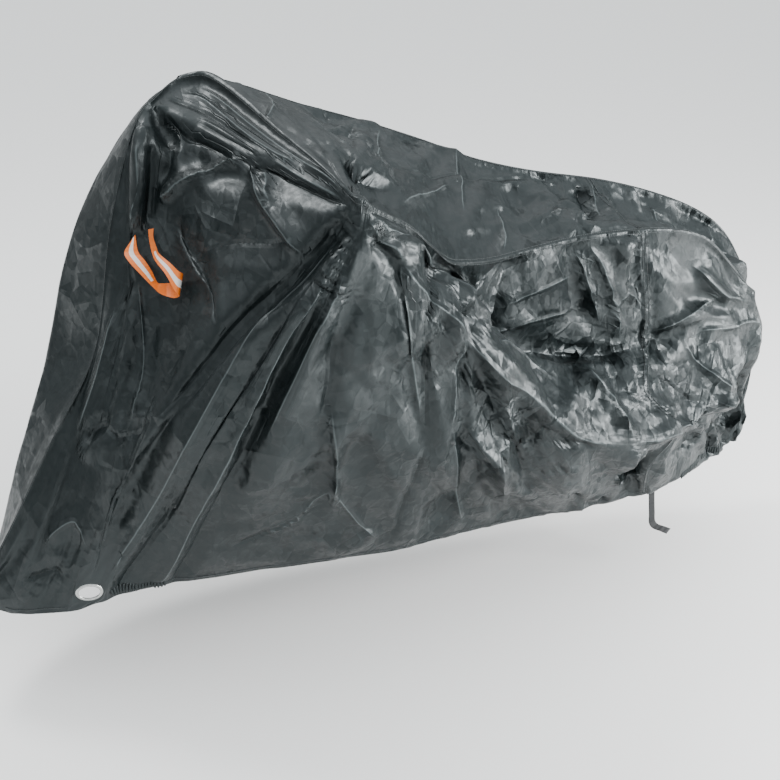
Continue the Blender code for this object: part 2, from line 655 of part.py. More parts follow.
def notch_rim(outer, normals, cells):
    """Places and normals around the notch, drawn in by the panel gap, in order."""
    first, last, row = cells
    patch = trim_edges(outer[first:last + 1, row:], normals[first:last + 1, row:],
                       ("first", "last", "top"), PANEL_GAP)
    facing = normals[first:last + 1, row:]
    bottom = patch.shape[1] - 1
    right = patch.shape[0] - 1
    spots = [(0, j) for j in range(bottom, 0, -1)]
    spots += [(i, 0) for i in range(right)]
    spots += [(right, j) for j in range(bottom)]
    spots += [(i, bottom) for i in range(right, 0, -1)]
    rim = np.array([patch[spot] for spot in spots])
    rim_normals = np.array([facing[spot] for spot in spots])
    half = (rim + np.roll(rim, -1, axis=0)) / 2.0
    half_normals = rim_normals + np.roll(rim_normals, -1, axis=0)
    half_normals /= np.linalg.norm(half_normals, axis=1)[:, None]
    rim = np.stack((rim, half), axis=1).reshape(-1, 3)
    rim_normals = np.stack((rim_normals, half_normals), axis=1).reshape(-1, 3)
    return rim, rim_normals


def build_eyelet_strip(outer, normals, cells, material):
    """The cloth strip that fills the notch, with the oval hole for the eyelet."""
    rim, rim_normals = notch_rim(outer, normals, cells)
    plane = EyeletPlane(rim, rim_normals)
    angles = plane.facing_angles(rim)
    depth = CLOTH_THICKNESS + HEM_EXTRA
    hole = np.array([plane.place(angle, 0.0, 0.0) for angle in angles])
    flat = np.array([plane.place(angle, EYELET_FLAT_MARGIN, 0.0) for angle in angles])
    rings = [hole, flat, rim]
    backs = [hole - plane.normal * depth, flat - plane.normal * depth, rim - rim_normals * depth]
    mesh = bmesh.new()
    loops = []
    for ring in rings + backs[::-1]:
        loops.append([mesh.verts.new(place - np.array(REST_POINT)) for place in ring])
    count = len(rim)
    for one, other in zip(loops, loops[1:] + loops[:1]):
        for k in range(count):
            after = (k + 1) % count
            mesh.faces.new((one[k], one[after], other[after], other[k]))
    return plane, finish_mesh("eyelet_strip", mesh, material)


# Cross-section of the pressed eyelet: offset from the strip's hole edge and
# height over the strip's outer face.
EyeletCorner = namedtuple("EyeletCorner", "offset height")
STRIP_DEPTH = CLOTH_THICKNESS + HEM_EXTRA
EYELET_SECTION = (
    EyeletCorner(-0.0020, 0.0008),
    EyeletCorner(0.0000, 0.0018),
    EyeletCorner(0.0030, 0.0016),
    EyeletCorner(0.0045, 0.0010),
    EyeletCorner(0.0045, 0.0004),
    EyeletCorner(-0.0007, 0.0004),
    EyeletCorner(-0.0007, -STRIP_DEPTH - 0.0004),
    EyeletCorner(0.0035, -STRIP_DEPTH - 0.0004),
    EyeletCorner(0.0035, -STRIP_DEPTH - 0.0012),
    EyeletCorner(-0.0002, -STRIP_DEPTH - 0.0015),
    EyeletCorner(-0.0020, -STRIP_DEPTH - 0.0008),
)


def build_lock_eyelet(plane, material):
    """The oval metal eyelet, one turned-over ring that grips the strip's hole."""
    mesh = bmesh.new()
    loops = []
    for step in range(EYELET_STEPS):
        angle = 2.0 * math.pi * step / EYELET_STEPS
        loops.append([mesh.verts.new(plane.place(angle, corner.offset, corner.height) - np.array(REST_POINT))
                      for corner in EYELET_SECTION])
    for one, other in zip(loops, loops[1:] + loops[:1]):
        for k in range(len(EYELET_SECTION)):
            after = (k + 1) % len(EYELET_SECTION)
            mesh.faces.new((one[k], one[after], other[after], other[k]))
    return finish_mesh("lock_eyelet", mesh, material, smooth_angle=35.0)


# The reflective ribbon from its front tail, down, across the bottom and up to
# its rear tail; a row for each rung, from the ribbon's one edge to its other.
LOOP_RUNGS = (
    Rung(-1.176, -0.074, 0.982, -1.168, -0.074, 0.992),
    Rung(-1.194, -0.084, 0.961, -1.168, -0.096, 0.964),
    Rung(-1.190, -0.113, 0.950, -1.158, -0.115, 0.949),
    Rung(-1.172, -0.145, 0.931, -1.149, -0.132, 0.932),
    Rung(-1.156, -0.171, 0.915, -1.143, -0.154, 0.915),
    Rung(-1.144, -0.186, 0.904, -1.134, -0.158, 0.913),
    Rung(-1.130, -0.194, 0.898, -1.122, -0.160, 0.913),
    Rung(-1.119, -0.209, 0.899, -1.108, -0.178, 0.921),
    Rung(-1.112, -0.226, 0.909, -1.098, -0.200, 0.942),
    Rung(-1.119, -0.228, 0.918, -1.107, -0.203, 0.952),
    Rung(-1.130, -0.187, 0.942, -1.116, -0.172, 0.958),
    Rung(-1.143, -0.152, 0.960, -1.131, -0.130, 0.966),
    Rung(-1.145, -0.121, 0.973, -1.133, -0.114, 0.974),
    Rung(-1.144, -0.094, 0.990, -1.135, -0.093, 0.989),
    Rung(-1.142, -0.079, 1.002, -1.131, -0.079, 1.003),
)

# The webbing strap from inside the rear hem down to its kicked-out end.
STRAP_RUNGS = (
    Rung(0.036, -0.136, 0.252, 0.053, -0.134, 0.252),
    Rung(0.036, -0.139, 0.215, 0.053, -0.137, 0.215),
    Rung(0.038, -0.141, 0.180, 0.055, -0.139, 0.180),
    Rung(0.041, -0.142, 0.148, 0.058, -0.140, 0.150),
    Rung(0.042, -0.144, 0.125, 0.059, -0.142, 0.130),
    Rung(0.048, -0.152, 0.113, 0.065, -0.147, 0.119),
    Rung(0.064, -0.162, 0.107, 0.080, -0.154, 0.113),
    Rung(0.080, -0.170, 0.100, 0.096, -0.161, 0.107),
)


def through_points(rows, steps):
    """A smooth curve that passes through every row, with steps between rows."""
    rows = np.asarray(rows, float)
    padded = np.vstack((2.0 * rows[0] - rows[1], rows, 2.0 * rows[-1] - rows[-2]))
    places = []
    for index in range(len(rows) - 1):
        before, start, end, after = padded[index:index + 4]
        for step in range(steps):
            t = step / steps
            places.append(0.5 * (2.0 * start + (end - before) * t
                                 + (2.0 * before - 5.0 * start + 4.0 * end - after) * t * t
                                 + (3.0 * start - before - 3.0 * end + after) * t**3))
    places.append(rows[-1])
    return np.array(places)


def build_ribbon(name, rungs, thickness, steps, material):
    """A flat ribbon of even thickness through its rungs, as one closed solid."""
    near = through_points([rung[:3] for rung in rungs], steps)
    far = through_points([rung[3:] for rung in rungs], steps)
    along = np.gradient((near + far) / 2.0, axis=0)
    face = np.cross(along, far - near)
    face /= np.linalg.norm(face, axis=1)[:, None]
    for index in range(1, len(face)):
        if np.dot(face[index], face[index - 1]) < 0.0:
            face[index] *= -1.0
    lift = face * thickness / 2.0
    mesh = bmesh.new()
    loops = []
    for index in range(len(near)):
        middle = (near[index] + far[index]) / 2.0
        ring = (near[index] + lift[index], middle + lift[index], far[index] + lift[index],
                far[index] - lift[index], middle - lift[index], near[index] - lift[index])
        loops.append([mesh.verts.new(place - np.array(REST_POINT)) for place in ring])
    for one, other in zip(loops, loops[1:]):
        for k in range(6):
            after = (k + 1) % 6
            mesh.faces.new((one[k], one[after], other[after], other[k]))
    mesh.faces.new(loops[0][::-1])
    mesh.faces.new(loops[-1])
    return finish_mesh(name, mesh, material)




def clear_scene():
    """Remove whatever the scene holds."""
    for piece in list(bpy.data.objects):
        bpy.data.objects.remove(piece, do_unlink=True)


def build_cover():
    """Build every panel and fitting of the cover."""
    cloth = make_material("coated_polyester", (0.030, 0.036, 0.038), 0.42)
    strip_cloth = make_material("eyelet_strip_cloth", (0.026, 0.030, 0.032), 0.50)
    metal = make_material("plated_steel", (0.62, 0.62, 0.60), 0.28, 1.0)
    ribbon = make_material("reflective_ribbon", (0.90, 0.22, 0.015), 0.45)
    webbing = make_material("webbing", (0.12, 0.12, 0.12), 0.80)

    stations = all_stations()
    (left, left_normal), (right, right_normal), (top, top_normal), start = build_sides(stations)
    split = int(np.argmin(np.abs(stations - REAR_SEAM_STATION)))
    cells = notch_cells(stations)
    half_gap = PANEL_GAP / 2.0

    panels = (
        ("left_panel", left[:split + 1], left_normal[:split + 1], ("top", "last"), cells),
        ("left_rear_panel", left[split:], left_normal[split:], ("top", "first"), None),
        ("right_panel", right[:split + 1], right_normal[:split + 1], ("top", "last"), None),
        ("right_rear_panel", right[split:], right_normal[split:], ("top", "first"), None),
        ("top_panel", top[:split + 1 - start], top_normal[:split + 1 - start],
         ("top", "bottom", "last", "first"), None),
        ("top_rear_panel", top[split - start:], top_normal[split - start:],
         ("top", "bottom", "first"), None),
    )
    for name, grid, normals, edges, notch in panels:
        outer = trim_edges(grid, normals, edges, half_gap)
        hem_rows = 0 if name.startswith("top") else 2
        sheet_object(name, outer, normals, CLOTH_THICKNESS, hem_rows, cloth, skip=notch)

    plane, _ = build_eyelet_strip(left, left_normal, cells, strip_cloth)
    build_lock_eyelet(plane, metal)
    build_ribbon("reflective_loop", LOOP_RUNGS, LOOP_THICKNESS, 2, ribbon)
    build_ribbon("rear_strap", STRAP_RUNGS, STRAP_THICKNESS, 2, webbing)


clear_scene()
build_cover()
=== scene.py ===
"""Bicycle cover of coated polyester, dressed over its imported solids.

The cover hangs on a bicycle that is left out. Metres, +Z up, X towards the
rear wheel and -Y to the cover's left side. The design tables are measured from
the ground under the rear wheel; REST_POINT is the part's origin in that frame.
"""
import logging
import math
from collections.abc import Mapping, Sequence
from dataclasses import dataclass, field
from enum import Enum
from typing import NamedTuple

import bmesh
import bpy
import numpy as np
from bpy.types import ID, Material, Node, NodeSocket, NodeTree, Object
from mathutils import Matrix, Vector
from mathutils.bvhtree import BVHTree
from mathutils.geometry import delaunay_2d_cdt


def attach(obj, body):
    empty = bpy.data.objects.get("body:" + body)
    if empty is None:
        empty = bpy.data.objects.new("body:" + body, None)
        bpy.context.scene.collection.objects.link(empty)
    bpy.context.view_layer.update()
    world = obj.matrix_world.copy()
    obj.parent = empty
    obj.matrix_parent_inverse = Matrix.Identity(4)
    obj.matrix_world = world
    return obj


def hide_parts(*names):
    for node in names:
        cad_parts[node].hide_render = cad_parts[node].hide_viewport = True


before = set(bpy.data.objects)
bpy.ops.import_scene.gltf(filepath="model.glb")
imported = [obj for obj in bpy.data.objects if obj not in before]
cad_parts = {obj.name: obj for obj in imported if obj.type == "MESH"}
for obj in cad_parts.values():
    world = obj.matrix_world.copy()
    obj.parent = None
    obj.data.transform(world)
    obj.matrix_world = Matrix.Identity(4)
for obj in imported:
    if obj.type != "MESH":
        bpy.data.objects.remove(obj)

LOG = logging.getLogger("bicycle_cover")

REST_POINT = np.array((-0.240, -0.050, 0.943))
TOP_START_STATION = 4.7
REAR_SEAM_STATION = 16.0
REAR_STATION = 20.0
BODY = "root"

# How far off its line a fold or a crease still acts, in its own widths.
REACH_WIDTHS = 3.0
# How far stitches and their paths stand off the cloth, in metres.
PROUD = 0.0005


class Side(Enum):
    """The three surfaces that the cover is sewn from; the numbers tell their random draws apart."""

    LEFT = -1
    RIGHT = 1
    TOP = 2


class Point(NamedTuple):
    """A station on a design line and its place."""

    station: float
    x: float
    y: float
    z: float


class Crown(NamedTuple):
    """How far the top panel's middle stands proud at a station."""

    station: float
    rise: float


class Fold(NamedTuple):
    """A fold through three (station, drop) places; a positive depth is a trough."""

    name: str
    start: tuple[float, float]
    middle: tuple[float, float]
    end: tuple[float, float]
    width: float
    depth: float


class Crease(NamedTuple):
    """A crisp crease along (station, drop) places; a negative depth stands up.

    It is steep on both sides, or for 1 and -1 on the one side only: 1 is below it
    where it runs to the rear, and ahead of it where it falls.
    """

    path: tuple[tuple[float, float], ...]
    width: float
    depth: float
    steep: int = 0


class Rung(NamedTuple):
    """One cross line of a ribbon, from its one edge to its other."""

    near: tuple[float, float, float]
    far: tuple[float, float, float]


class Run(NamedTuple):
    """A stretch of stations and the number of columns that it gets."""

    start: float
    end: float
    steps: int


class Lamp(NamedTuple):
    """A square soft light: its place, what it faces, its side in metres and its power in watts."""

    name: str
    at: tuple[float, float, float]
    to: tuple[float, float, float]
    size: float
    power: float


def design_line(*rows: tuple[float, float, float, float]) -> tuple[Point, ...]:
    """A design line through rows of station, x, y and z."""
    return tuple(Point(*row) for row in rows)


# Left seam: up the front, over the handlebar to the left grip, back along the
# saddle and down the rear.
LEFT_SEAM = design_line(
    (0.0, -1.575, -0.12, 0.25), (0.5, -1.488, -0.142, 0.402), (1.0, -1.39, -0.125, 0.57), (2.0, -1.26, -0.07, 0.775),
    (3.0, -1.205, -0.02, 1.02), (4.0, -1.105, 0.05, 1.225), (4.7, -1.025, 0.13, 1.25), (5.0, -0.98, 0.12, 1.255),
    (6.0, -0.875, -0.17, 1.18), (7.0, -0.812, -0.4, 1.132), (9.0, -0.8, -0.43, 1.128), (10.0, -0.792, -0.428, 1.118),
    (11.0, -0.755, -0.405, 1.09), (12.0, -0.675, -0.35, 1.035), (13.0, -0.548, -0.27, 0.928),
    (14.0, -0.42, -0.218, 0.908), (15.0, -0.24, -0.17, 0.912), (16.0, -0.04, -0.13, 0.9), (17.0, 0.14, -0.08, 0.855),
    (18.0, 0.272, -0.05, 0.742), (18.5, 0.345, -0.02, 0.662), (19.0, 0.402, 0.01, 0.55), (19.5, 0.408, 0.03, 0.4),
    (20.0, 0.385, 0.04, 0.24),
)

# Where the cloth turns in under the handlebar, and behind the left grip the
# hollow between the saddle and the ridge that the grip pulls up.
LEFT_UPPER = design_line(
    (0.0, -1.5735, -0.1245, 0.245), (0.5, -1.492, -0.161, 0.367), (1.0, -1.41, -0.158, 0.49),
    (2.0, -1.29, -0.11, 0.705), (3.0, -1.2, -0.07, 0.925), (4.0, -1.12, 0.0, 1.19), (5.0, -1.035, -0.02, 1.183),
    (6.0, -0.925, -0.25, 1.155), (7.0, -0.826, -0.42, 1.108), (9.0, -0.806, -0.44, 1.085),
    (10.0, -0.795, -0.44, 1.085), (11.0, -0.755, -0.425, 1.065), (12.0, -0.648, -0.345, 1.0),
    (13.0, -0.515, -0.245, 0.868), (14.0, -0.425, -0.2, 0.73), (15.0, -0.24, -0.18, 0.68), (16.0, -0.015, -0.15, 0.65),
    (17.0, 0.13, -0.13, 0.64), (18.0, 0.255, -0.09, 0.6), (19.0, 0.365, -0.025, 0.5), (20.0, 0.385, 0.035, 0.235),
)

# Front face, then the ridge that runs back and down from the left grip.
LEFT_RIDGE = design_line(
    (0.0, -1.571, -0.126, 0.24), (1.0, -1.43, -0.172, 0.42), (2.0, -1.325, -0.145, 0.61), (3.0, -1.225, -0.12, 0.8),
    (4.0, -1.15, -0.045, 1.045), (5.0, -1.105, -0.09, 1.0), (6.0, -1.0, -0.265, 1.04), (7.0, -0.93, -0.4, 0.98),
    (8.0, -0.895, -0.432, 0.99), (9.0, -0.85, -0.442, 0.995), (10.0, -0.797, -0.45, 1.025),
    (11.0, -0.748, -0.432, 1.045), (12.0, -0.655, -0.385, 1.017), (13.0, -0.55, -0.322, 0.915),
    (13.5, -0.497, -0.285, 0.832), (14.0, -0.44, -0.245, 0.758), (15.0, -0.255, -0.255, 0.61),
    (16.0, -0.06, -0.235, 0.56), (17.0, 0.115, -0.185, 0.53), (18.0, 0.24, -0.135, 0.505), (19.0, 0.358, -0.035, 0.43),
    (20.0, 0.385, 0.035, 0.23),
)

# Front face, then the shoulder where the cloth turns down into the skirt.
LEFT_SHOULDER = design_line(
    (0.0, -1.569, -0.129, 0.235), (1.0, -1.455, -0.177, 0.34), (2.0, -1.37, -0.17, 0.49), (3.0, -1.285, -0.165, 0.64),
    (4.0, -1.2, -0.16, 0.79), (5.0, -1.15, -0.21, 0.79), (6.0, -1.1, -0.292, 0.84), (7.0, -1.06, -0.37, 0.85),
    (8.0, -0.985, -0.418, 0.86), (9.0, -0.905, -0.432, 0.86), (10.0, -0.803, -0.44, 0.905),
    (11.0, -0.728, -0.442, 0.972), (12.0, -0.655, -0.418, 0.91), (13.0, -0.555, -0.382, 0.81),
    (14.0, -0.43, -0.36, 0.672), (15.0, -0.28, -0.342, 0.52), (15.6, -0.12, -0.325, 0.47), (16.0, 0.02, -0.26, 0.45),
    (17.0, 0.12, -0.205, 0.43), (18.0, 0.215, -0.145, 0.425), (19.0, 0.345, -0.03, 0.37), (20.0, 0.383, 0.037, 0.225),
)

LEFT_SKIRT = design_line(
    (0.0, -1.566, -0.131, 0.23), (1.0, -1.48, -0.179, 0.265), (3.0, -1.355, -0.205, 0.43), (5.0, -1.28, -0.258, 0.52),
    (7.0, -1.225, -0.3, 0.59), (8.0, -1.12, -0.345, 0.59), (9.0, -0.99, -0.365, 0.59), (10.0, -0.83, -0.372, 0.6),
    (11.0, -0.705, -0.375, 0.6), (12.0, -0.59, -0.36, 0.58), (13.0, -0.49, -0.34, 0.51), (14.0, -0.38, -0.325, 0.44),
    (15.0, -0.245, -0.3, 0.37), (16.0, -0.02, -0.22, 0.335), (17.0, 0.095, -0.165, 0.325), (18.0, 0.225, -0.095, 0.32),
    (19.0, 0.338, -0.015, 0.29), (20.0, 0.381, 0.038, 0.22),
)

LEFT_HEM = design_line(
    (0.0, -1.563, -0.132, 0.22), (1.0, -1.504, -0.17, 0.212), (3.0, -1.428, -0.2, 0.216), (5.0, -1.375, -0.21, 0.218),
    (7.0, -1.327, -0.21, 0.228), (8.0, -1.205, -0.2, 0.235), (9.0, -1.05, -0.2, 0.233), (10.0, -0.86, -0.2, 0.229),
    (11.0, -0.67, -0.2, 0.224), (12.0, -0.515, -0.19, 0.225), (14.0, -0.275, -0.182, 0.225),
    (15.0, -0.16, -0.176, 0.222), (16.0, 0.01, -0.155, 0.218), (17.0, 0.12, -0.11, 0.214), (18.0, 0.245, -0.05, 0.207),
    (19.0, 0.33, -0.005, 0.208), (20.0, 0.38, 0.04, 0.214),
)

# Right edge of the top panel: the taut line from the right grip to the saddle,
# over the rack and down the rear.
RIGHT_SEAM = design_line(
    (4.7, -1.022, 0.133, 1.25), (5.0, -0.975, 0.185, 1.247), (6.0, -0.88, 0.192, 1.222), (7.0, -0.82, 0.182, 1.2),
    (10.0, -0.755, 0.172, 1.176), (12.0, -0.62, 0.15, 1.134), (13.0, -0.485, 0.122, 1.086),
    (14.0, -0.355, 0.09, 1.036), (15.0, -0.22, 0.07, 1.002), (16.0, -0.095, 0.055, 0.98), (17.0, 0.09, 0.06, 0.925),
    (18.0, 0.268, 0.07, 0.836), (18.5, 0.352, 0.08, 0.745), (19.0, 0.412, 0.095, 0.61), (19.5, 0.415, 0.112, 0.43),
    (20.0, 0.385, 0.125, 0.24),
)

# The right panel bulges ahead of the front seam, then hangs straight.
RIGHT_HIP = design_line(
    (0.0, -1.572, -0.11, 0.242), (0.5, -1.51, -0.085, 0.35), (1.0, -1.455, -0.03, 0.5), (2.0, -1.36, 0.04, 0.7),
    (3.0, -1.28, 0.105, 0.94), (4.0, -1.158, 0.165, 1.125), (4.5, -1.095, 0.195, 1.18), (5.0, -1.0, 0.25, 1.12),
    (7.0, -0.85, 0.255, 1.05), (10.0, -0.755, 0.245, 1.0), (13.0, -0.5, 0.23, 0.89), (16.0, -0.09, 0.19, 0.77),
    (17.0, 0.09, 0.18, 0.7), (18.0, 0.235, 0.165, 0.6), (19.0, 0.345, 0.14, 0.48), (20.0, 0.385, 0.128, 0.235),
)

RIGHT_SKIRT = design_line(
    (0.0, -1.568, -0.11, 0.232), (1.0, -1.49, -0.02, 0.36), (3.0, -1.33, 0.13, 0.56), (5.0, -1.11, 0.25, 0.62),
    (7.0, -0.94, 0.285, 0.61), (10.0, -0.79, 0.295, 0.6), (13.0, -0.49, 0.28, 0.53), (16.0, -0.07, 0.245, 0.45),
    (18.0, 0.21, 0.185, 0.39), (19.0, 0.325, 0.145, 0.34), (20.0, 0.383, 0.127, 0.225),
)

RIGHT_HEM = design_line(
    (0.0, -1.564, -0.108, 0.222), (1.0, -1.53, -0.04, 0.22), (3.0, -1.4, 0.08, 0.22), (5.0, -1.2, 0.16, 0.222),
    (7.0, -1.01, 0.19, 0.224), (10.0, -0.85, 0.205, 0.224), (13.0, -0.5, 0.205, 0.222), (16.0, -0.06, 0.185, 0.218),
    (18.0, 0.2, 0.145, 0.212), (19.0, 0.32, 0.12, 0.21), (20.0, 0.381, 0.122, 0.214),
)

# How far the middle of the top panel stands above the line between its seams.
TOP_CROWN = (
    Crown(4.7, 0.0), Crown(7.0, -0.02), Crown(10.0, -0.026), Crown(13.0, -0.012), Crown(15.0, 0.012),
    Crown(17.0, 0.03), Crown(18.5, 0.028), Crown(19.5, 0.015), Crown(20.0, 0.004),
)


LEFT_FOLDS = (
    Fold("long trough from the grip", (7.3, 0.12), (6.95, 0.42), (7.05, 0.96), 0.022, 0.026),
    Fold("light ridge beside it", (8.05, 0.16), (8.15, 0.42), (7.9, 0.94), 0.02, -0.016),
    Fold("second trough", (8.5, 0.22), (8.6, 0.55), (8.8, 0.97), 0.022, 0.013),
    Fold("soft ridge", (8.95, 0.25), (9.05, 0.6), (9.35, 0.97), 0.028, -0.01),
    Fold("third trough", (9.4, 0.3), (9.62, 0.62), (9.95, 0.97), 0.028, 0.01),
    Fold("pleat", (9.72, 0.66), (9.95, 0.78), (10.15, 0.92), 0.016, -0.01),
    Fold("trough under the shoulder", (10.45, 0.08), (11.1, 0.56), (11.5, 0.8), 0.018, 0.014),
    Fold("skirt ridge", (11.7, 0.56), (11.85, 0.7), (11.8, 0.9), 0.018, -0.008),
    Fold("middle trough", (12.6, 0.56), (12.5, 0.7), (12.3, 0.92), 0.022, 0.01),
    Fold("face ridge to the front", (5.7, 0.14), (5.34, 0.19), (4.6, 0.245), 0.016, -0.014),
    Fold("face ridge to the grip", (5.66, 0.15), (6.14, 0.2), (6.78, 0.235), 0.018, -0.014),
    Fold("face ridge down", (5.15, 0.26), (5.6, 0.36), (6.5, 0.47), 0.02, -0.014),
    Fold("hollow under the handlebar", (4.9, 0.165), (5.5, 0.185), (6.2, 0.165), 0.022, 0.016),
    Fold("pinch under the right grip", (4.22, 0.045), (4.34, 0.1), (4.6, 0.17), 0.016, 0.016),
    Fold("front column", (3.95, 0.1), (3.95, 0.22), (4.1, 0.34), 0.018, -0.014),
    Fold("lower face trough", (3.2, 0.3), (4.1, 0.45), (4.6, 0.6), 0.022, 0.012),
    Fold("wheel ridge", (2.2, 0.42), (3.2, 0.6), (4.9, 0.66), 0.022, -0.01),
    Fold("hollow beside the saddle", (13.95, 0.155), (15.2, 0.15), (16.8, 0.145), 0.03, 0.018),
    Fold("ridge up to the saddle", (15.6, 0.5), (15.44, 0.35), (15.34, 0.24), 0.018, -0.012),
    Fold("ridge to the rear", (15.6, 0.5), (15.95, 0.5), (16.8, 0.5), 0.018, -0.01),
    Fold("ridge to the hem", (15.62, 0.5), (15.6, 0.68), (15.58, 0.9), 0.018, -0.012),
    Fold("front ridge under the saddle", (15.05, 0.015), (15.22, 0.045), (15.42, 0.105), 0.014, -0.01),
    Fold("rear ridge under the saddle", (15.27, 0.012), (15.48, 0.05), (15.58, 0.13), 0.014, -0.01),
    Fold("rear crest", (17.02, 0.035), (17.56, 0.06), (18.4, 0.045), 0.02, -0.014),
    Fold("rear hollow", (16.5, 0.07), (17.2, 0.085), (17.9, 0.085), 0.02, 0.012),
    Fold("low rear ridge", (16.12, 0.13), (17.0, 0.11), (18.3, 0.1), 0.02, -0.012),
    Fold("rear hem trough", (16.6, 0.6), (17.2, 0.7), (17.9, 0.8), 0.022, 0.012),
    Fold("last rear trough", (18.1, 0.3), (18.6, 0.5), (18.8, 0.85), 0.02, 0.01),
)

TOP_FOLDS = (
    Fold("diamond front", (10.05, 0.34), (9.7, 0.2), (8.95, 0.06), 0.018, 0.012),
    Fold("diamond back", (10.9, 0.27), (10.3, 0.17), (9.3, 0.06), 0.018, -0.01),
    Fold("long packing fold", (10.9, 0.24), (13.0, 0.6), (15.1, 0.88), 0.014, -0.006),
    Fold("pinch by the saddle", (15.75, 0.86), (15.62, 0.55), (15.42, 0.18), 0.02, 0.016),
    Fold("ridge by the pinch", (16.1, 0.8), (15.98, 0.5), (15.8, 0.22), 0.018, -0.012),
    Fold("middle ridge", (13.3, 0.18), (13.6, 0.42), (14.1, 0.8), 0.024, -0.01),
    Fold("saddle trough", (14.4, 0.15), (14.5, 0.5), (14.6, 0.85), 0.026, 0.01),
    Fold("rack ridge", (17.2, 0.15), (17.1, 0.5), (16.95, 0.85), 0.024, -0.01),
)

RIGHT_FOLDS = (
    Fold("front fall of the right grip", (4.6, 0.06), (3.9, 0.45), (3.1, 0.95), 0.03, 0.018),
    Fold("ridge of the right grip", (5.0, 0.08), (4.9, 0.5), (4.7, 0.95), 0.032, -0.016),
    Fold("rear fall of the right grip", (5.6, 0.08), (6.1, 0.5), (6.6, 0.95), 0.032, 0.018),
    Fold("long sweep to the hem", (6.6, 0.1), (8.6, 0.45), (11.0, 0.9), 0.034, -0.014),
    Fold("middle fall", (12.6, 0.1), (12.2, 0.5), (11.8, 0.95), 0.036, 0.014),
    Fold("saddle fall", (14.9, 0.06), (14.5, 0.5), (14.0, 0.95), 0.034, -0.014),
    Fold("rack fall", (16.6, 0.08), (16.8, 0.5), (17.2, 0.92), 0.032, 0.014),
)


# How crumpled the sides are: the station, then the amount at each of CRUMPLE_DROPS.
CRUMPLE = (
    (0.0, 0.35, 0.35, 0.55), (3.0, 0.5, 0.5, 0.6), (5.5, 0.8, 0.7, 0.7), (7.2, 0.7, 0.6, 0.75), (9.5, 0.8, 0.6, 0.75),
    (12.0, 1.0, 0.95, 0.85), (15.0, 1.2, 1.2, 0.98), (20.0, 1.2, 1.2, 1.0),
)
CRUMPLE_DROPS = (0.0, 0.45, 1.0)

# How far the left seam stands up as a pinched ridge, in metres, by station.
SEAM_RIDGE = (
    (0.0, 0.002), (4.2, 0.004), (5.2, 0.017), (6.6, 0.016), (7.2, 0.006), (8.6, 0.009), (11.4, 0.01), (12.4, 0.003),
    (20.0, 0.002),
)

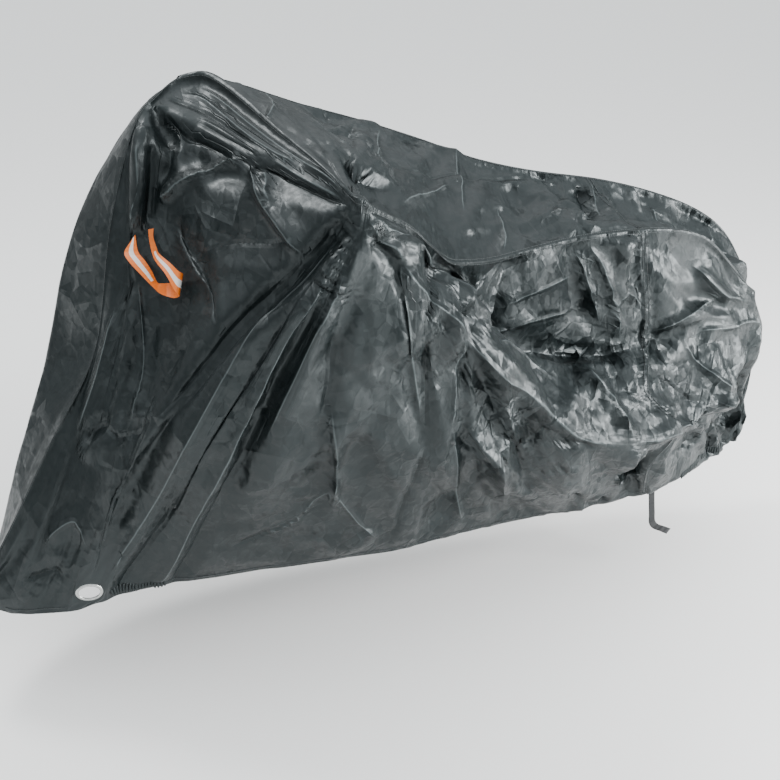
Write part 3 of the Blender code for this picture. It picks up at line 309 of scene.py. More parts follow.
# Creases listed one by one; see Crease.
LEFT_CREASES = (
    # The band over the handlebar, its lower edge, and the wrinkles in it.
    Crease(((4.3, 0.055), (4.6, 0.112), (4.95, 0.14), (5.35, 0.15), (5.75, 0.142), (6.15, 0.122), (6.6, 0.104),
            (7.05, 0.088)), 0.03, 0.02, -1),
    Crease(((4.95, 0.024), (5.53, 0.038), (6.0, 0.042), (6.45, 0.036), (6.85, 0.02)), 0.01, -0.006),
    Crease(((4.46, 0.035), (4.89, 0.07), (5.28, 0.084), (5.85, 0.088)), 0.008, 0.003),
    Crease(((4.7, 0.032), (5.47, 0.066), (5.91, 0.07), (6.23, 0.06)), 0.008, -0.0035),
    Crease(((5.08, 0.108), (5.47, 0.112), (5.8, 0.104)), 0.008, 0.003),
    Crease(((5.95, 0.09), (6.3, 0.084), (6.75, 0.066)), 0.008, -0.003),
    # The hollow face under it.
    Crease(((5.72, 0.14), (5.47, 0.177), (5.2, 0.207), (4.58, 0.248)), 0.014, -0.0075),
    Crease(((5.66, 0.153), (6.17, 0.207), (6.49, 0.225), (6.81, 0.238)), 0.014, -0.011, -1),
    Crease(((5.85, 0.136), (6.04, 0.177), (6.25, 0.204)), 0.009, -0.005),
    Crease(((5.1, 0.262), (5.3, 0.29), (5.6, 0.345), (5.95, 0.405), (6.42, 0.462)), 0.028, 0.015, -1),
    Crease(((5.45, 0.33), (6.05, 0.3), (6.4, 0.262), (6.62, 0.225)), 0.02, 0.0035),
    Crease(((4.28, 0.06), (4.36, 0.106), (4.58, 0.159), (4.72, 0.19), (4.62, 0.225)), 0.014, 0.015),
    Crease(((3.85, 0.15), (3.74, 0.213), (3.77, 0.308)), 0.016, -0.011, 1),
    Crease(((4.22, 0.17), (4.32, 0.24), (4.34, 0.31)), 0.012, 0.008),
    # The bundle that falls from the left grip.
    Crease(((7.16, 0.11), (7.0, 0.18), (6.9, 0.248), (6.82, 0.325), (6.74, 0.42), (6.66, 0.53), (6.5, 0.62),
            (6.1, 0.67)), 0.018, 0.012),
    Crease(((7.45, 0.112), (7.25, 0.2), (7.18, 0.27), (7.2, 0.37), (7.45, 0.48), (7.58, 0.58), (7.66, 0.69),
            (7.6, 0.806), (7.33, 0.9), (6.9, 0.995)), 0.022, -0.011),
    Crease(((7.75, 0.15), (7.84, 0.254), (7.93, 0.379), (8.0, 0.486), (8.03, 0.604), (8.01, 0.71), (7.92, 0.818),
            (7.7, 0.905), (7.4, 0.99)), 0.018, 0.015),
    Crease(((8.4, 0.23), (8.42, 0.304), (8.4, 0.385), (8.36, 0.5), (8.34, 0.59), (8.42, 0.68), (8.42, 0.75),
            (8.32, 0.83), (8.05, 0.985)), 0.022, -0.017, 1),
    Crease(((8.72, 0.34), (8.72, 0.43), (8.66, 0.515), (8.64, 0.598), (8.7, 0.7), (8.66, 0.79), (8.53, 0.86),
            (8.25, 0.99)), 0.022, 0.015),
    Crease(((9.21, 0.266), (9.1, 0.397), (8.98, 0.5), (8.94, 0.604), (8.91, 0.72)), 0.022, -0.008),
    Crease(((9.49, 0.5), (9.6, 0.61), (9.62, 0.69)), 0.016, 0.008),
    Crease(((9.74, 0.68), (9.98, 0.79), (10.11, 0.89)), 0.012, -0.009, 1),
    Crease(((10.02, 0.842), (9.69, 0.9), (9.28, 0.925)), 0.01, -0.005),
    Crease(((10.02, 0.842), (10.39, 0.905), (10.81, 0.96)), 0.01, -0.005),
    Crease(((8.91, 0.938), (9.49, 0.911), (9.97, 0.883)), 0.009, 0.004),
    # The lower face beside the front wheel.
    Crease(((2.74, 0.15), (2.4, 0.231), (1.95, 0.29)), 0.016, -0.011, 1),
    Crease(((2.05, 0.385), (3.1, 0.54), (3.94, 0.64), (4.95, 0.655), (6.0, 0.655)), 0.018, 0.007),
    Crease(((4.05, 0.4), (4.3, 0.52), (4.6, 0.64)), 0.014, -0.007),
    Crease(((1.4, 0.56), (2.6, 0.72), (4.2, 0.86)), 0.02, -0.007),
    Crease(((0.9, 0.62), (1.9, 0.8), (3.2, 0.93)), 0.018, 0.007),
    # The crest from the grip to the saddle and the bright slope on its near side.
    Crease(((10.3, 0.06), (11.1, 0.12), (11.8, 0.2), (12.48, 0.285), (12.95, 0.34), (13.3, 0.4)), 0.02, -0.008, -1),
    Crease(((10.1, 0.09), (10.7, 0.2), (11.12, 0.33), (11.24, 0.42)), 0.014, -0.009, 1),
    Crease(((11.18, 0.426), (11.1, 0.52), (11.22, 0.604), (11.36, 0.675), (11.52, 0.76)), 0.016, -0.009, 1),
    Crease(((11.74, 0.515), (11.58, 0.61), (11.52, 0.699), (11.52, 0.764)), 0.01, 0.007, 1),
    Crease(((11.22, 0.426), (11.42, 0.48), (11.74, 0.505), (12.23, 0.5), (12.56, 0.503), (12.89, 0.515)), 0.02,
            -0.011, 1),
    Crease(((12.89, 0.515), (12.72, 0.575), (12.3, 0.68), (12.0, 0.745)), 0.014, -0.007, 1),
    Crease(((12.89, 0.515), (13.21, 0.53), (13.6, 0.535), (14.0, 0.51), (14.43, 0.492), (14.76, 0.494), (15.1, 0.502),
            (15.57, 0.5)), 0.026, -0.013, 1),
    Crease(((11.5, 0.77), (11.25, 0.848), (11.08, 0.91), (11.01, 0.958)), 0.012, 0.008),
    Crease(((12.07, 0.741), (12.09, 0.836), (12.15, 0.922), (12.23, 0.965)), 0.012, -0.007, -1),
    # The hollow beside the saddle.
    Crease(((13.45, 0.38), (13.9, 0.25), (14.43, 0.172), (14.9, 0.162), (15.41, 0.168), (15.9, 0.16)), 0.024, 0.016,
            -1),
    Crease(((13.54, 0.35), (13.75, 0.18), (13.94, 0.09), (14.08, 0.04)), 0.016, 0.01),
    Crease(((13.92, 0.13), (14.35, 0.096), (14.76, 0.09), (15.1, 0.086)), 0.016, -0.007),
    Crease(((14.11, 0.064), (14.6, 0.05), (15.12, 0.044)), 0.01, -0.004),
    Crease(((13.7, 0.4), (14.2, 0.34), (14.75, 0.3)), 0.014, -0.008, -1),
    Crease(((15.1, 0.012), (15.18, 0.034), (15.28, 0.062), (15.42, 0.106)), 0.012, -0.006),
    Crease(((15.27, 0.01), (15.4, 0.035), (15.5, 0.064), (15.66, 0.14)), 0.012, -0.006),
    Crease(((15.5, 0.085), (15.74, 0.066), (15.92, 0.084)), 0.01, -0.005),
    # The flank behind the saddle.
    Crease(((16.12, 0.132), (16.52, 0.114), (17.08, 0.096), (17.6, 0.076)), 0.02, -0.012, -1),
    Crease(((16.94, 0.04), (17.28, 0.058), (17.7, 0.064), (18.33, 0.046)), 0.02, -0.012, -1),
    Crease(((17.08, 0.14), (17.91, 0.122), (18.75, 0.06)), 0.018, -0.009, -1),
    Crease(((15.56, 0.49), (15.5, 0.409), (15.42, 0.345), (15.3, 0.278), (15.02, 0.219)), 0.018, -0.011, 1),
    Crease(((15.58, 0.51), (15.57, 0.658), (15.56, 0.83)), 0.02, -0.007),
    Crease(((15.6, 0.5), (15.84, 0.5), (16.3, 0.497), (16.9, 0.52)), 0.018, -0.009, 1),
    Crease(((16.8, 0.165), (17.35, 0.26), (17.98, 0.361)), 0.016, -0.008, 1),
    Crease(((16.31, 0.219), (16.66, 0.308), (17.05, 0.4)), 0.014, 0.007),
    Crease(((16.24, 0.717), (17.42, 0.78), (18.3, 0.77), (19.3, 0.64)), 0.016, 0.008),
    Crease(((17.6, 0.42), (18.2, 0.52), (18.6, 0.66)), 0.016, -0.008),
    Crease(((18.4, 0.18), (18.8, 0.33), (19.1, 0.52)), 0.016, 0.008),
)

TOP_CREASES = (
    # Where the cover was folded in its bag.
    Crease(((10.81, 0.224), (12.64, 0.559), (13.94, 0.793), (15.0, 0.92)), 0.007, 0.0035),
    Crease(((12.31, 0.943), (11.91, 0.625), (11.43, 0.324)), 0.007, -0.0035),
    Crease(((11.83, 0.96), (11.2, 0.64), (10.46, 0.375)), 0.007, 0.003),
    Crease(((13.54, 0.98), (13.46, 0.659), (13.37, 0.375)), 0.007, -0.0035),
    Crease(((14.11, 0.508), (14.11, 0.207), (14.03, 0.057)), 0.008, -0.005),
    # The dark hollow behind the grip, the ridge beside it and the pinch by the saddle.
    Crease(((10.18, 0.341), (10.5, 0.27), (10.74, 0.2)), 0.014, 0.003),
    Crease(((10.67, 0.24), (10.4, 0.15), (10.04, 0.073)), 0.012, 0.002),
    Crease(((11.91, 0.157), (12.64, 0.408), (13.21, 0.592)), 0.018, -0.007, 1),
    Crease(((15.74, 0.893), (15.7, 0.65), (15.41, 0.207)), 0.016, 0.006, -1),
    Crease(((16.04, 0.94), (15.9, 0.692), (15.7, 0.35)), 0.016, -0.005),
    Crease(((16.87, 0.793), (16.8, 0.45), (16.73, 0.12)), 0.014, -0.009),
    Crease(((17.9, 0.893), (17.9, 0.6), (17.6, 0.1)), 0.014, -0.009),
    Crease(((6.55, 0.96), (6.3, 0.642), (5.79, 0.157)), 0.012, -0.006),
    Crease(((8.96, 0.826), (9.8, 0.7), (10.55, 0.425)), 0.012, -0.007),
    Crease(((7.3, 0.82), (8.1, 0.56), (8.6, 0.2)), 0.016, 0.008),
)

LOOP_RUNGS = (
    Rung((-1.176, -0.074, 0.982), (-1.168, -0.074, 0.992)), Rung((-1.194, -0.084, 0.961), (-1.168, -0.096, 0.964)),
    Rung((-1.19, -0.113, 0.95), (-1.158, -0.115, 0.949)), Rung((-1.172, -0.145, 0.931), (-1.149, -0.132, 0.932)),
    Rung((-1.156, -0.171, 0.915), (-1.143, -0.154, 0.915)), Rung((-1.144, -0.186, 0.904), (-1.134, -0.158, 0.913)),
    Rung((-1.13, -0.194, 0.898), (-1.122, -0.16, 0.913)), Rung((-1.119, -0.209, 0.899), (-1.108, -0.178, 0.921)),
    Rung((-1.112, -0.226, 0.909), (-1.098, -0.2, 0.942)), Rung((-1.119, -0.228, 0.918), (-1.107, -0.203, 0.952)),
    Rung((-1.13, -0.187, 0.942), (-1.116, -0.172, 0.958)), Rung((-1.143, -0.152, 0.96), (-1.131, -0.13, 0.966)),
    Rung((-1.145, -0.121, 0.973), (-1.133, -0.114, 0.974)), Rung((-1.144, -0.094, 0.99), (-1.135, -0.093, 0.989)),
    Rung((-1.142, -0.079, 1.002), (-1.131, -0.079, 1.003)),
)

# Along the loop, in millimetres: where its first face is the plain inner one, and where it isn't.
LOOP_INSIDE_RUNS_MM = ((115.0, 318.0),)
LOOP_OUTSIDE_RUNS_MM = ((-10.0, 115.0), (318.0, 400.0))

# The webbing strap from inside the rear hem down to its kicked-out end.
STRAP_RUNGS = (
    Rung((0.036, -0.136, 0.252), (0.053, -0.134, 0.252)), Rung((0.036, -0.139, 0.215), (0.053, -0.137, 0.215)),
    Rung((0.038, -0.141, 0.18), (0.055, -0.139, 0.18)), Rung((0.041, -0.142, 0.148), (0.058, -0.14, 0.15)),
    Rung((0.042, -0.144, 0.125), (0.059, -0.142, 0.13)), Rung((0.048, -0.152, 0.113), (0.065, -0.147, 0.119)),
    Rung((0.064, -0.162, 0.107), (0.08, -0.154, 0.113)), Rung((0.08, -0.17, 0.1), (0.096, -0.161, 0.107)),
)


# The stations between which rows of stitches run, and the drops between which the felled seam's rows do.
RIGHT_SEAM_STITCHES = (4.8, 20.0)
TOP_SEAM_STITCHES = (5.2, 20.0)
HEM_STITCHES = {Side.LEFT: ((0.6, 3.9), (7.4, 19.6)), Side.RIGHT: ((0.6, 19.6),)}
FELL_STITCHES = {Side.LEFT: (0.01, 0.99), Side.RIGHT: (0.01, 0.99), Side.TOP: (0.03, 0.97)}

LEFT_LINES = (LEFT_SEAM, LEFT_UPPER, LEFT_RIDGE, LEFT_SHOULDER, LEFT_SKIRT, LEFT_HEM)
LEFT_DROPS = (0.0, 0.13, 0.28, 0.50, 0.76, 1.0)
RIGHT_LINES = (RIGHT_HIP, RIGHT_SKIRT, RIGHT_HEM)
RIGHT_DROPS = (0.0, 0.25, 0.62, 1.0)
TOP_SPREAD = (0.0, 0.5, 1.0)


def smooth_curve(knots: Sequence[float], values: Sequence, samples: Sequence[float]) -> np.ndarray:
    """Monotone cubic curve through values at knots.

    Args:
        knots: rising positions of the values.
        values: one row of numbers for each knot.
        samples: positions to read.

    Returns:
        One row for each sample.
    """
    knots = np.asarray(knots, float)
    values = np.asarray(values, float)
    span = np.diff(knots)
    slope = np.diff(values, axis=0) / span[:, None]
    tangent = np.zeros_like(values)
    before, after = slope[:-1], slope[1:]
    weight_before = (2.0 * span[1:] + span[:-1])[:, None]
    weight_after = (span[1:] + 2.0 * span[:-1])[:, None]
    rising = before * after > 0.0
    mean = (weight_before + weight_after) / (weight_before / np.where(rising, before, 1.0)
                                             + weight_after / np.where(rising, after, 1.0))
    tangent[1:-1] = np.where(rising, mean, 0.0)
    tangent[0], tangent[-1] = slope[0], slope[-1]
    samples = np.clip(np.asarray(samples, float), knots[0], knots[-1])
    index = np.clip(np.searchsorted(knots, samples, side="right") - 1, 0, len(span) - 1)
    step = span[index][:, None]
    t = ((samples - knots[index]) / span[index])[:, None]
    return ((2 * t**3 - 3 * t**2 + 1) * values[index] + (t**3 - 2 * t**2 + t) * step * tangent[index]
            + (3 * t**2 - 2 * t**3) * values[index + 1] + (t**3 - t**2) * step * tangent[index + 1])


def read_table(rows: Sequence[Sequence[float]], stations: np.ndarray) -> np.ndarray:
    """What a table or a design line, whose rows start with a station, says at the given stations."""
    return smooth_curve([row[0] for row in rows], [row[1:] for row in rows], stations)


def ease(value: np.ndarray) -> np.ndarray:
    """Smooth step from 0 to 1 of a value held between them."""
    held = np.clip(value, 0.0, 1.0)
    return held * held * (3.0 - 2.0 * held)


def unit(vectors: np.ndarray) -> np.ndarray:
    """Vectors brought to length 1 along the last axis."""
    return vectors / np.maximum(np.linalg.norm(vectors, axis=-1, keepdims=True), 1e-12)


def through_points(rows: Sequence, steps: int) -> np.ndarray:
    """A smooth curve through every row.

    Args:
        rows: places that it passes through.
        steps: steps between two rows.

    Returns:
        The curve's places.
    """
    rows = np.asarray(rows, float)
    padded = np.vstack((2.0 * rows[0] - rows[1], rows, 2.0 * rows[-1] - rows[-2]))
    places = []
    for index in range(len(rows) - 1):
        before, start, end, after = padded[index:index + 4]
        for t in np.arange(steps) / steps:
            places.append(0.5 * (2.0 * start + (end - before) * t
                                 + (2.0 * before - 5.0 * start + 4.0 * end - after) * t * t
                                 + (3.0 * start - before - 3.0 * end + after) * t**3))
    places.append(rows[-1])
    return np.array(places)


@dataclass
class Grid:
    """One fine surface of the cover and what its finish needs to know at each place."""

    side: Side
    stations: np.ndarray
    spots: np.ndarray
    places: np.ndarray
    normals: np.ndarray = field(init=False)
    cloth_u: np.ndarray = field(init=False)
    cloth_v: np.ndarray = field(init=False)
    seam_gap: np.ndarray = field(init=False)
    fell_gap: np.ndarray = field(init=False)
    hem_gap: np.ndarray = field(init=False)
    crumple: np.ndarray = field(init=False)
    crease_gap: np.ndarray = field(init=False)
    crease_near: np.ndarray = field(init=False)

    def __post_init__(self) -> None:
        """Measure the bare surface before any fold is pressed in."""
        self.face()
        middle = len(self.spots) // 2
        across = np.linalg.norm(np.diff(self.places[:, middle], axis=0), axis=1)
        run = np.concatenate(([0.0], np.cumsum(across)))
        down = np.linalg.norm(np.diff(self.places, axis=1), axis=2)
        fall = np.concatenate((np.zeros((len(self.stations), 1)), np.cumsum(down, axis=1)), axis=1)
        self.cloth_u = np.repeat(run[:, None], len(self.spots), axis=1)
        self.cloth_v = fall
        self.seam_gap = np.minimum(fall, fall[:, -1:] - fall) if self.side is Side.TOP else fall
        self.hem_gap = np.full_like(fall, 1.0) if self.side is Side.TOP else fall[:, -1:] - fall
        self.fell_gap = np.linalg.norm(self.places - self.places[self.column(REAR_SEAM_STATION)], axis=2)
        self.crumple = np.ones_like(fall)
        self.crease_gap = np.ones_like(fall)
        self.crease_near = np.zeros_like(fall)

    def column(self, station: float) -> int:
        """The column nearest to a station."""
        return int(np.argmin(np.abs(self.stations - station)))

    def row(self, drop: float) -> int:
        """The row nearest to a drop."""
        return int(np.argmin(np.abs(self.spots - drop)))

    def face(self) -> None:
        """Work the outward normals out again."""
        turn = -1.0 if self.side is Side.LEFT else 1.0
        along = np.gradient(self.places, axis=0)
        across = np.gradient(self.places, axis=1)
        self.normals = unit(np.cross(along, across) * turn)

    def read(self, spots: np.ndarray) -> np.ndarray:
        """Places read between the grid's own.

        Args:
            spots: (station, drop) pairs.

        Returns:
            A place for each pair.
        """
        column = np.interp(spots[:, 0], self.stations, np.arange(len(self.stations)))
        row = np.interp(spots[:, 1], self.spots, np.arange(len(self.spots)))
        left = np.minimum(column.astype(int), len(self.stations) - 2)
        top = np.minimum(row.astype(int), len(self.spots) - 2)
        across, down = (column - left)[:, None], (row - top)[:, None]
        upper = self.places[left, top] * (1.0 - across) + self.places[left + 1, top] * across
        lower = self.places[left, top + 1] * (1.0 - across) + self.places[left + 1, top + 1] * across
        return upper * (1.0 - down) + lower * down

    def press(self, shift: np.ndarray) -> None:
        """Move every place inward by a shift and face it again."""
        self.places = self.places - self.normals * shift[:, :, None]
        self.face()

    def line_at(self, gap: float, last: bool = False) -> np.ndarray:
        """A line along the surface at a gap from its first or its last row.

        Args:
            gap: distance from that row, along the cloth.
            last: measure from the last row.

        Returns:
            A place for each station, just proud of the cloth.
        """
        away = self.cloth_v[:, -1:] - self.cloth_v if last else self.cloth_v
        line = []
        for index in range(len(self.stations)):
            order = np.argsort(away[index])
            fall = away[index][order]
            place = [np.interp(gap, fall, self.places[index][order][:, k]) for k in range(3)]
            row = int(np.argmin(np.abs(away[index] - gap)))
            line.append(np.array(place) + self.normals[index, row] * PROUD)
        return np.array(line)


@dataclass
class CoverForm:
    """The hanging shape: surfaces spanned over the design lines, with their main folds."""

    seam_fade: float = 0.030
    fold_steps: int = 25
    fold_start: float = 0.15
    fold_end: float = 0.22
    runs: tuple[Run, ...] = (
        Run(0.0, 4.1, 50), Run(4.1, 4.7, 10), Run(4.7, 7.0, 36), Run(7.0, 7.2, 3), Run(7.2, 9.0, 42),
        Run(9.0, 11.5, 36), Run(11.5, 15.9, 54), Run(15.9, 16.0, 5), Run(16.0, 16.1, 5), Run(16.1, 20.0, 56),
    )

    def stations(self) -> np.ndarray:
        """Every station of the fine surfaces."""
        pieces = [np.linspace(run.start, run.end, run.steps + 1)[:-1] for run in self.runs]
        return np.concatenate(pieces + [np.array([REAR_STATION])])

    def spots(self, side: Side) -> np.ndarray:
        """Every drop of one surface, closer together at its seam and its hem.

        Args:
            side: which surface.

        Returns:
            The drops in order, from 0 to 1.
        """
        near = np.array((0.0, 0.0016, 0.0042, 0.0068))
        if side is Side.LEFT:
            return np.concatenate((near, np.linspace(0.011, 0.895, 150), (0.90,), np.linspace(0.905, 0.975, 13),
                                   (0.981, 0.987, 0.991, 0.996, 1.0)))
        if side is Side.RIGHT:
            return np.concatenate((near, np.linspace(0.012, 0.972, 96), (0.981, 0.987, 0.991, 0.996, 1.0)))
        edge = near * 3.5
        return np.concatenate((edge, np.linspace(0.04, 0.96, 56), 1.0 - edge[::-1]))

    def surface(self, side: Side, stations: np.ndarray, spots: np.ndarray) -> np.ndarray:
        """One surface before its folds.

        Args:
            side: which surface.
            stations: its columns.
            spots: its rows, as drops.

        Returns:
            Places by column and row.
        """
        seam = read_table(LEFT_SEAM, stations)
        if side is Side.TOP:
            right = read_table(RIGHT_SEAM, stations)
            rise = read_table(TOP_CROWN, stations)
            up = unit(np.cross(np.gradient(seam + right, axis=0), seam - right))
            lines, drops = [seam, (seam + right) / 2.0 + up * rise, right], TOP_SPREAD
        elif side is Side.LEFT:
            lines, drops = [read_table(line, stations) for line in LEFT_LINES], LEFT_DROPS
        else:
            ahead = (stations < TOP_START_STATION)[:, None]
            lines = [np.where(ahead, seam, read_table(RIGHT_SEAM, stations))]
            lines += [read_table(line, stations) for line in RIGHT_LINES]
            drops = RIGHT_DROPS
        columns = np.stack(lines, axis=1)
        return np.array([smooth_curve(drops, column, spots) for column in columns])

    def fold_shift(self, grid: Grid, folds: Sequence[Fold]) -> np.ndarray:
        """How far each place moves inward under the main folds.

        Args:
            grid: the surface.
            folds: its main folds.

        Returns:
            A shift for each place.
        """
        shift = np.zeros(grid.places.shape[:2])
        for fold in folds:
            t = np.linspace(0.0, 1.0, self.fold_steps)
            route = grid.read(smooth_curve((0.0, 0.5, 1.0), (fold.start, fold.middle, fold.end), t))
            fullness = ease(np.minimum(t / self.fold_start, (1.0 - t) / self.fold_end))
            reach, nearest, mask = distance_to_route(grid.places, route, REACH_WIDTHS * fold.width)
            shift[mask] += fold.depth * np.exp(-(reach / fold.width) ** 2) * fullness[nearest]
        return shift * ease(grid.seam_gap / self.seam_fade)

    def build(self, side: Side) -> Grid:
        """One fine surface with its main folds pressed in.

        Args:
            side: which surface.

        Returns:
            The surface.
        """
        stations = self.stations()
        if side is Side.TOP:
            stations = stations[stations > TOP_START_STATION - 0.001]
        spots = self.spots(side)
        grid = Grid(side, stations, spots, self.surface(side, stations, spots))
        folds = {Side.LEFT: LEFT_FOLDS, Side.RIGHT: RIGHT_FOLDS, Side.TOP: TOP_FOLDS}[side]
        grid.press(self.fold_shift(grid, folds))
        return grid


def distance_to_route(places: np.ndarray, route: np.ndarray,
                      reach: float) -> tuple[np.ndarray, np.ndarray, np.ndarray]:
    """Distance from places to a route's nearest point, within a reach.

    Args:
        places: the places, in any shape ending in 3.
        route: the route's points in order.
        reach: how far off the route still counts.

    Returns:
        Distances, the index of each nearest point, and the mask of places that count.
    """
    low, high = route.min(axis=0) - reach, route.max(axis=0) + reach
    mask = np.all((places > low) & (places < high), axis=-1)
    picked = places[mask]
    start, end = route[:-1], route[1:]
    leg = end - start
    length = np.maximum((leg**2).sum(axis=1), 1e-12)
    t = np.clip(np.einsum("nkc,kc->nk", picked[:, None, :] - start[None], leg) / length, 0.0, 1.0)
    gap = np.linalg.norm(picked[:, None, :] - (start[None] + leg[None] * t[:, :, None]), axis=2)
    nearest = np.argmin(gap, axis=1) if len(picked) else np.zeros(0, int)
    return gap[np.arange(len(picked)), nearest], nearest, mask


@dataclass
class Relief:
    """What the main folds leave out: creases, stress lines and packing crumples."""

    seam_fade: float = 0.014
    facet_fade: float = 0.020
    hem_fade: float = 0.035
    hem_share: float = 0.35
    full_room: float = 0.0055
    facet_cells: tuple[float, ...] = (0.120, 0.060, 0.028)
    facet_tilts: tuple[float, ...] = (0.24, 0.28, 0.20)
    facet_stretch: float = 0.7
    calm_share: float = 0.30
    calm_until: float = 7.8
    calm_over: float = 3.0
    top_crumple: float = 0.75
    patch_share: float = 0.35
    patch_waves: float = 2.2
    stress_lines: int = 150
    stress_inset: float = 0.3
    stress_drops: tuple[float, float] = (0.03, 0.80)
    stress_falls: tuple[float, float] = (0.04, 0.20)
    stress_lean: float = 0.9
    stress_depths: tuple[float, float] = (0.0016, 0.0042)
    stress_widths: tuple[float, float] = (0.006, 0.012)
    stress_limit: float = 0.004
    crease_steps: int = 18
    open_drop: float = 0.97
    taper_share: float = 0.3
    fade_share: float = 0.18
    foot_widths: float = 1.7
    least_foot: float = 0.009
    rounding: float = 0.25
    steepness: float = 0.60
    edge_round: float = 0.0020
    line_reach: float = 0.022
    ridge_width: float = 0.018
    lap_depth: float = 0.0009
    lap_reach: float = 0.005
    lap_fade: float = 0.004
    seed: int = 11

    def noise(self, spots: np.ndarray, scale: float, seed: int) -> np.ndarray:
        """Soft uneven values about 0, a few waves laid over each other.

        Args:
            spots: flat cloth places.
            scale: waves to the metre.
            seed: picks the waves.

        Returns:
            A value between about -1 and 1 for each place.
        """
        draw = np.random.default_rng(seed)
        total = np.zeros(spots.shape[:-1])
        for _ in range(7):
            turn = draw.uniform(0.0, math.tau)
            pitch = scale * draw.uniform(0.6, 1.6)
            wave = spots[..., 0] * math.cos(turn) + spots[..., 1] * math.sin(turn)
            total += np.sin(wave * pitch * math.tau + draw.uniform(0.0, math.tau))
        return total / 3.2

    def facets(self, spots: np.ndarray, cell: float, seed: int) -> np.ndarray:
        """Height of flat facets that meet in crisp ridges, like film that was crumpled.

        Args:
            spots: flat cloth places.
            cell: size of a facet in metres.
            seed: picks the facets.

        Returns:
            A height for a tilt of 1, about 0 on average.
        """
        draw = np.random.default_rng(seed)
        flat = spots.reshape(-1, 2)
        low, high = flat.min(axis=0) - 2.0 * cell, flat.max(axis=0) + 2.0 * cell
        count = int(np.prod((high - low) / cell))
        seeds = draw.uniform(low, high, (count, 2))
        corners, _, faces, *_ = delaunay_2d_cdt([Vector(place) for place in seeds], [], [], 0, 1e-6)
        rise = draw.normal(0.0, 0.5 * cell, len(corners))
        ground = BVHTree.FromPolygons([(corner.x, corner.y, up) for corner, up in zip(corners, rise)], faces)
        above = Vector((0.0, 0.0, 1.0))
        height = np.zeros(len(flat))
        for index, (across, down) in enumerate(flat):
            hit = ground.ray_cast(Vector((across, down, -9.0)), above)[0]
            height[index] = hit.z if hit else 0.0
        return height.reshape(spots.shape[:-1])

    def crease_shift(self, grid: Grid, creases: Sequence[Crease], wear_and_highlight: bool) -> np.ndarray:
        """How far each place moves inward under crisp creases.

        Args:
            grid: the surface.
            creases: its creases.
            wear_and_highlight: whether to record them for their sharp bend and for the pale line along their crests,
                which is partly coating wear and partly a painted highlight.

        Returns:
            A shift for each place.
        """
        shift = np.zeros(grid.places.shape[:2])
        spots = np.stack(np.meshgrid(grid.stations, grid.spots, indexing="ij"), axis=-1)
        for crease in creases:
            line = through_points(crease.path, self.crease_steps)
            reach, nearest, mask = distance_to_route(grid.places, grid.read(line), REACH_WIDTHS * crease.width)
            leg, off = np.diff(line, axis=0)[nearest], spots[mask] - line[nearest]
            below = np.sign(leg[:, 0] * off[:, 1] - leg[:, 1] * off[:, 0])
            t = (nearest + 0.5) / (len(line) - 1)
            to_end = np.minimum(t, 1.0 - t if line[-1, 1] < self.open_drop else 1.0)
            width = crease.width * (0.5 + 0.5 * ease(to_end / self.taper_share))
            blunt = np.sqrt(reach**2 + self.edge_round**2) - self.edge_round
            foot = self.foot_widths * width
            if crease.steep:
                foot = np.where(below == crease.steep, np.maximum(self.steepness * foot, self.least_foot), foot)
            profile = 1.0 - ease(blunt / foot) * self.rounding - (blunt / foot).clip(0.0, 1.0) * (1.0 - self.rounding)
            strength = ease(to_end / self.fade_share)
            shift[mask] += crease.depth * profile * strength
            # The pale line recorded along the crests is partly coating wear and partly a painted highlight.
            if wear_and_highlight:
                nearer = (reach < np.abs(grid.crease_gap[mask])) & (reach < self.line_reach)
                picked = np.flatnonzero(mask.ravel())[nearer]
                near = (1.0 - reach / self.line_reach) * strength * -np.sign(crease.depth)
                grid.crease_gap.ravel()[picked] = (below * reach)[nearer]
                grid.crease_near.ravel()[picked] = near[nearer]
        return shift

    def stress(self, grid: Grid) -> list[Crease]:
        """Random short creases that mostly run the way the cloth falls.

        Args:
            grid: the surface.

        Returns:
            The creases.
        """
        draw = np.random.default_rng(self.seed + grid.side.value)
        lines = []
        for _ in range(self.stress_lines):
            station = draw.uniform(grid.stations[0] + self.stress_inset, REAR_STATION - self.stress_inset)
            drop = draw.uniform(*self.stress_drops)
            fall = draw.uniform(*self.stress_falls)
            end = (min(max(station + draw.normal(0.0, self.stress_lean), grid.stations[0]), REAR_STATION),
                   min(drop + fall, self.open_drop))
            depth = draw.choice((-1.0, 1.0)) * draw.uniform(*self.stress_depths)
            lines.append(Crease(((station, drop), end), draw.uniform(*self.stress_widths), depth))
        return lines

    def calm(self, grid: Grid) -> np.ndarray:
        """Share of the facets that each station keeps: few in the tight folds round the front wheel."""
        kept = ease((grid.stations - self.calm_until) / self.calm_over)
        return (self.calm_share + (1.0 - self.calm_share) * kept)[:, None]

    def crumple(self, grid: Grid) -> np.ndarray:
        """How strongly each place is crumpled, 1 where the cloth was packed tightest.

        Args:
            grid: the surface.

        Returns:
            A strength for each place.
        """
        if grid.side is Side.TOP:
            return np.full(grid.places.shape[:2], self.top_crumple)
        return np.array([smooth_curve(CRUMPLE_DROPS, row[:, None], grid.spots)[:, 0]
                         for row in read_table(CRUMPLE, grid.stations)])

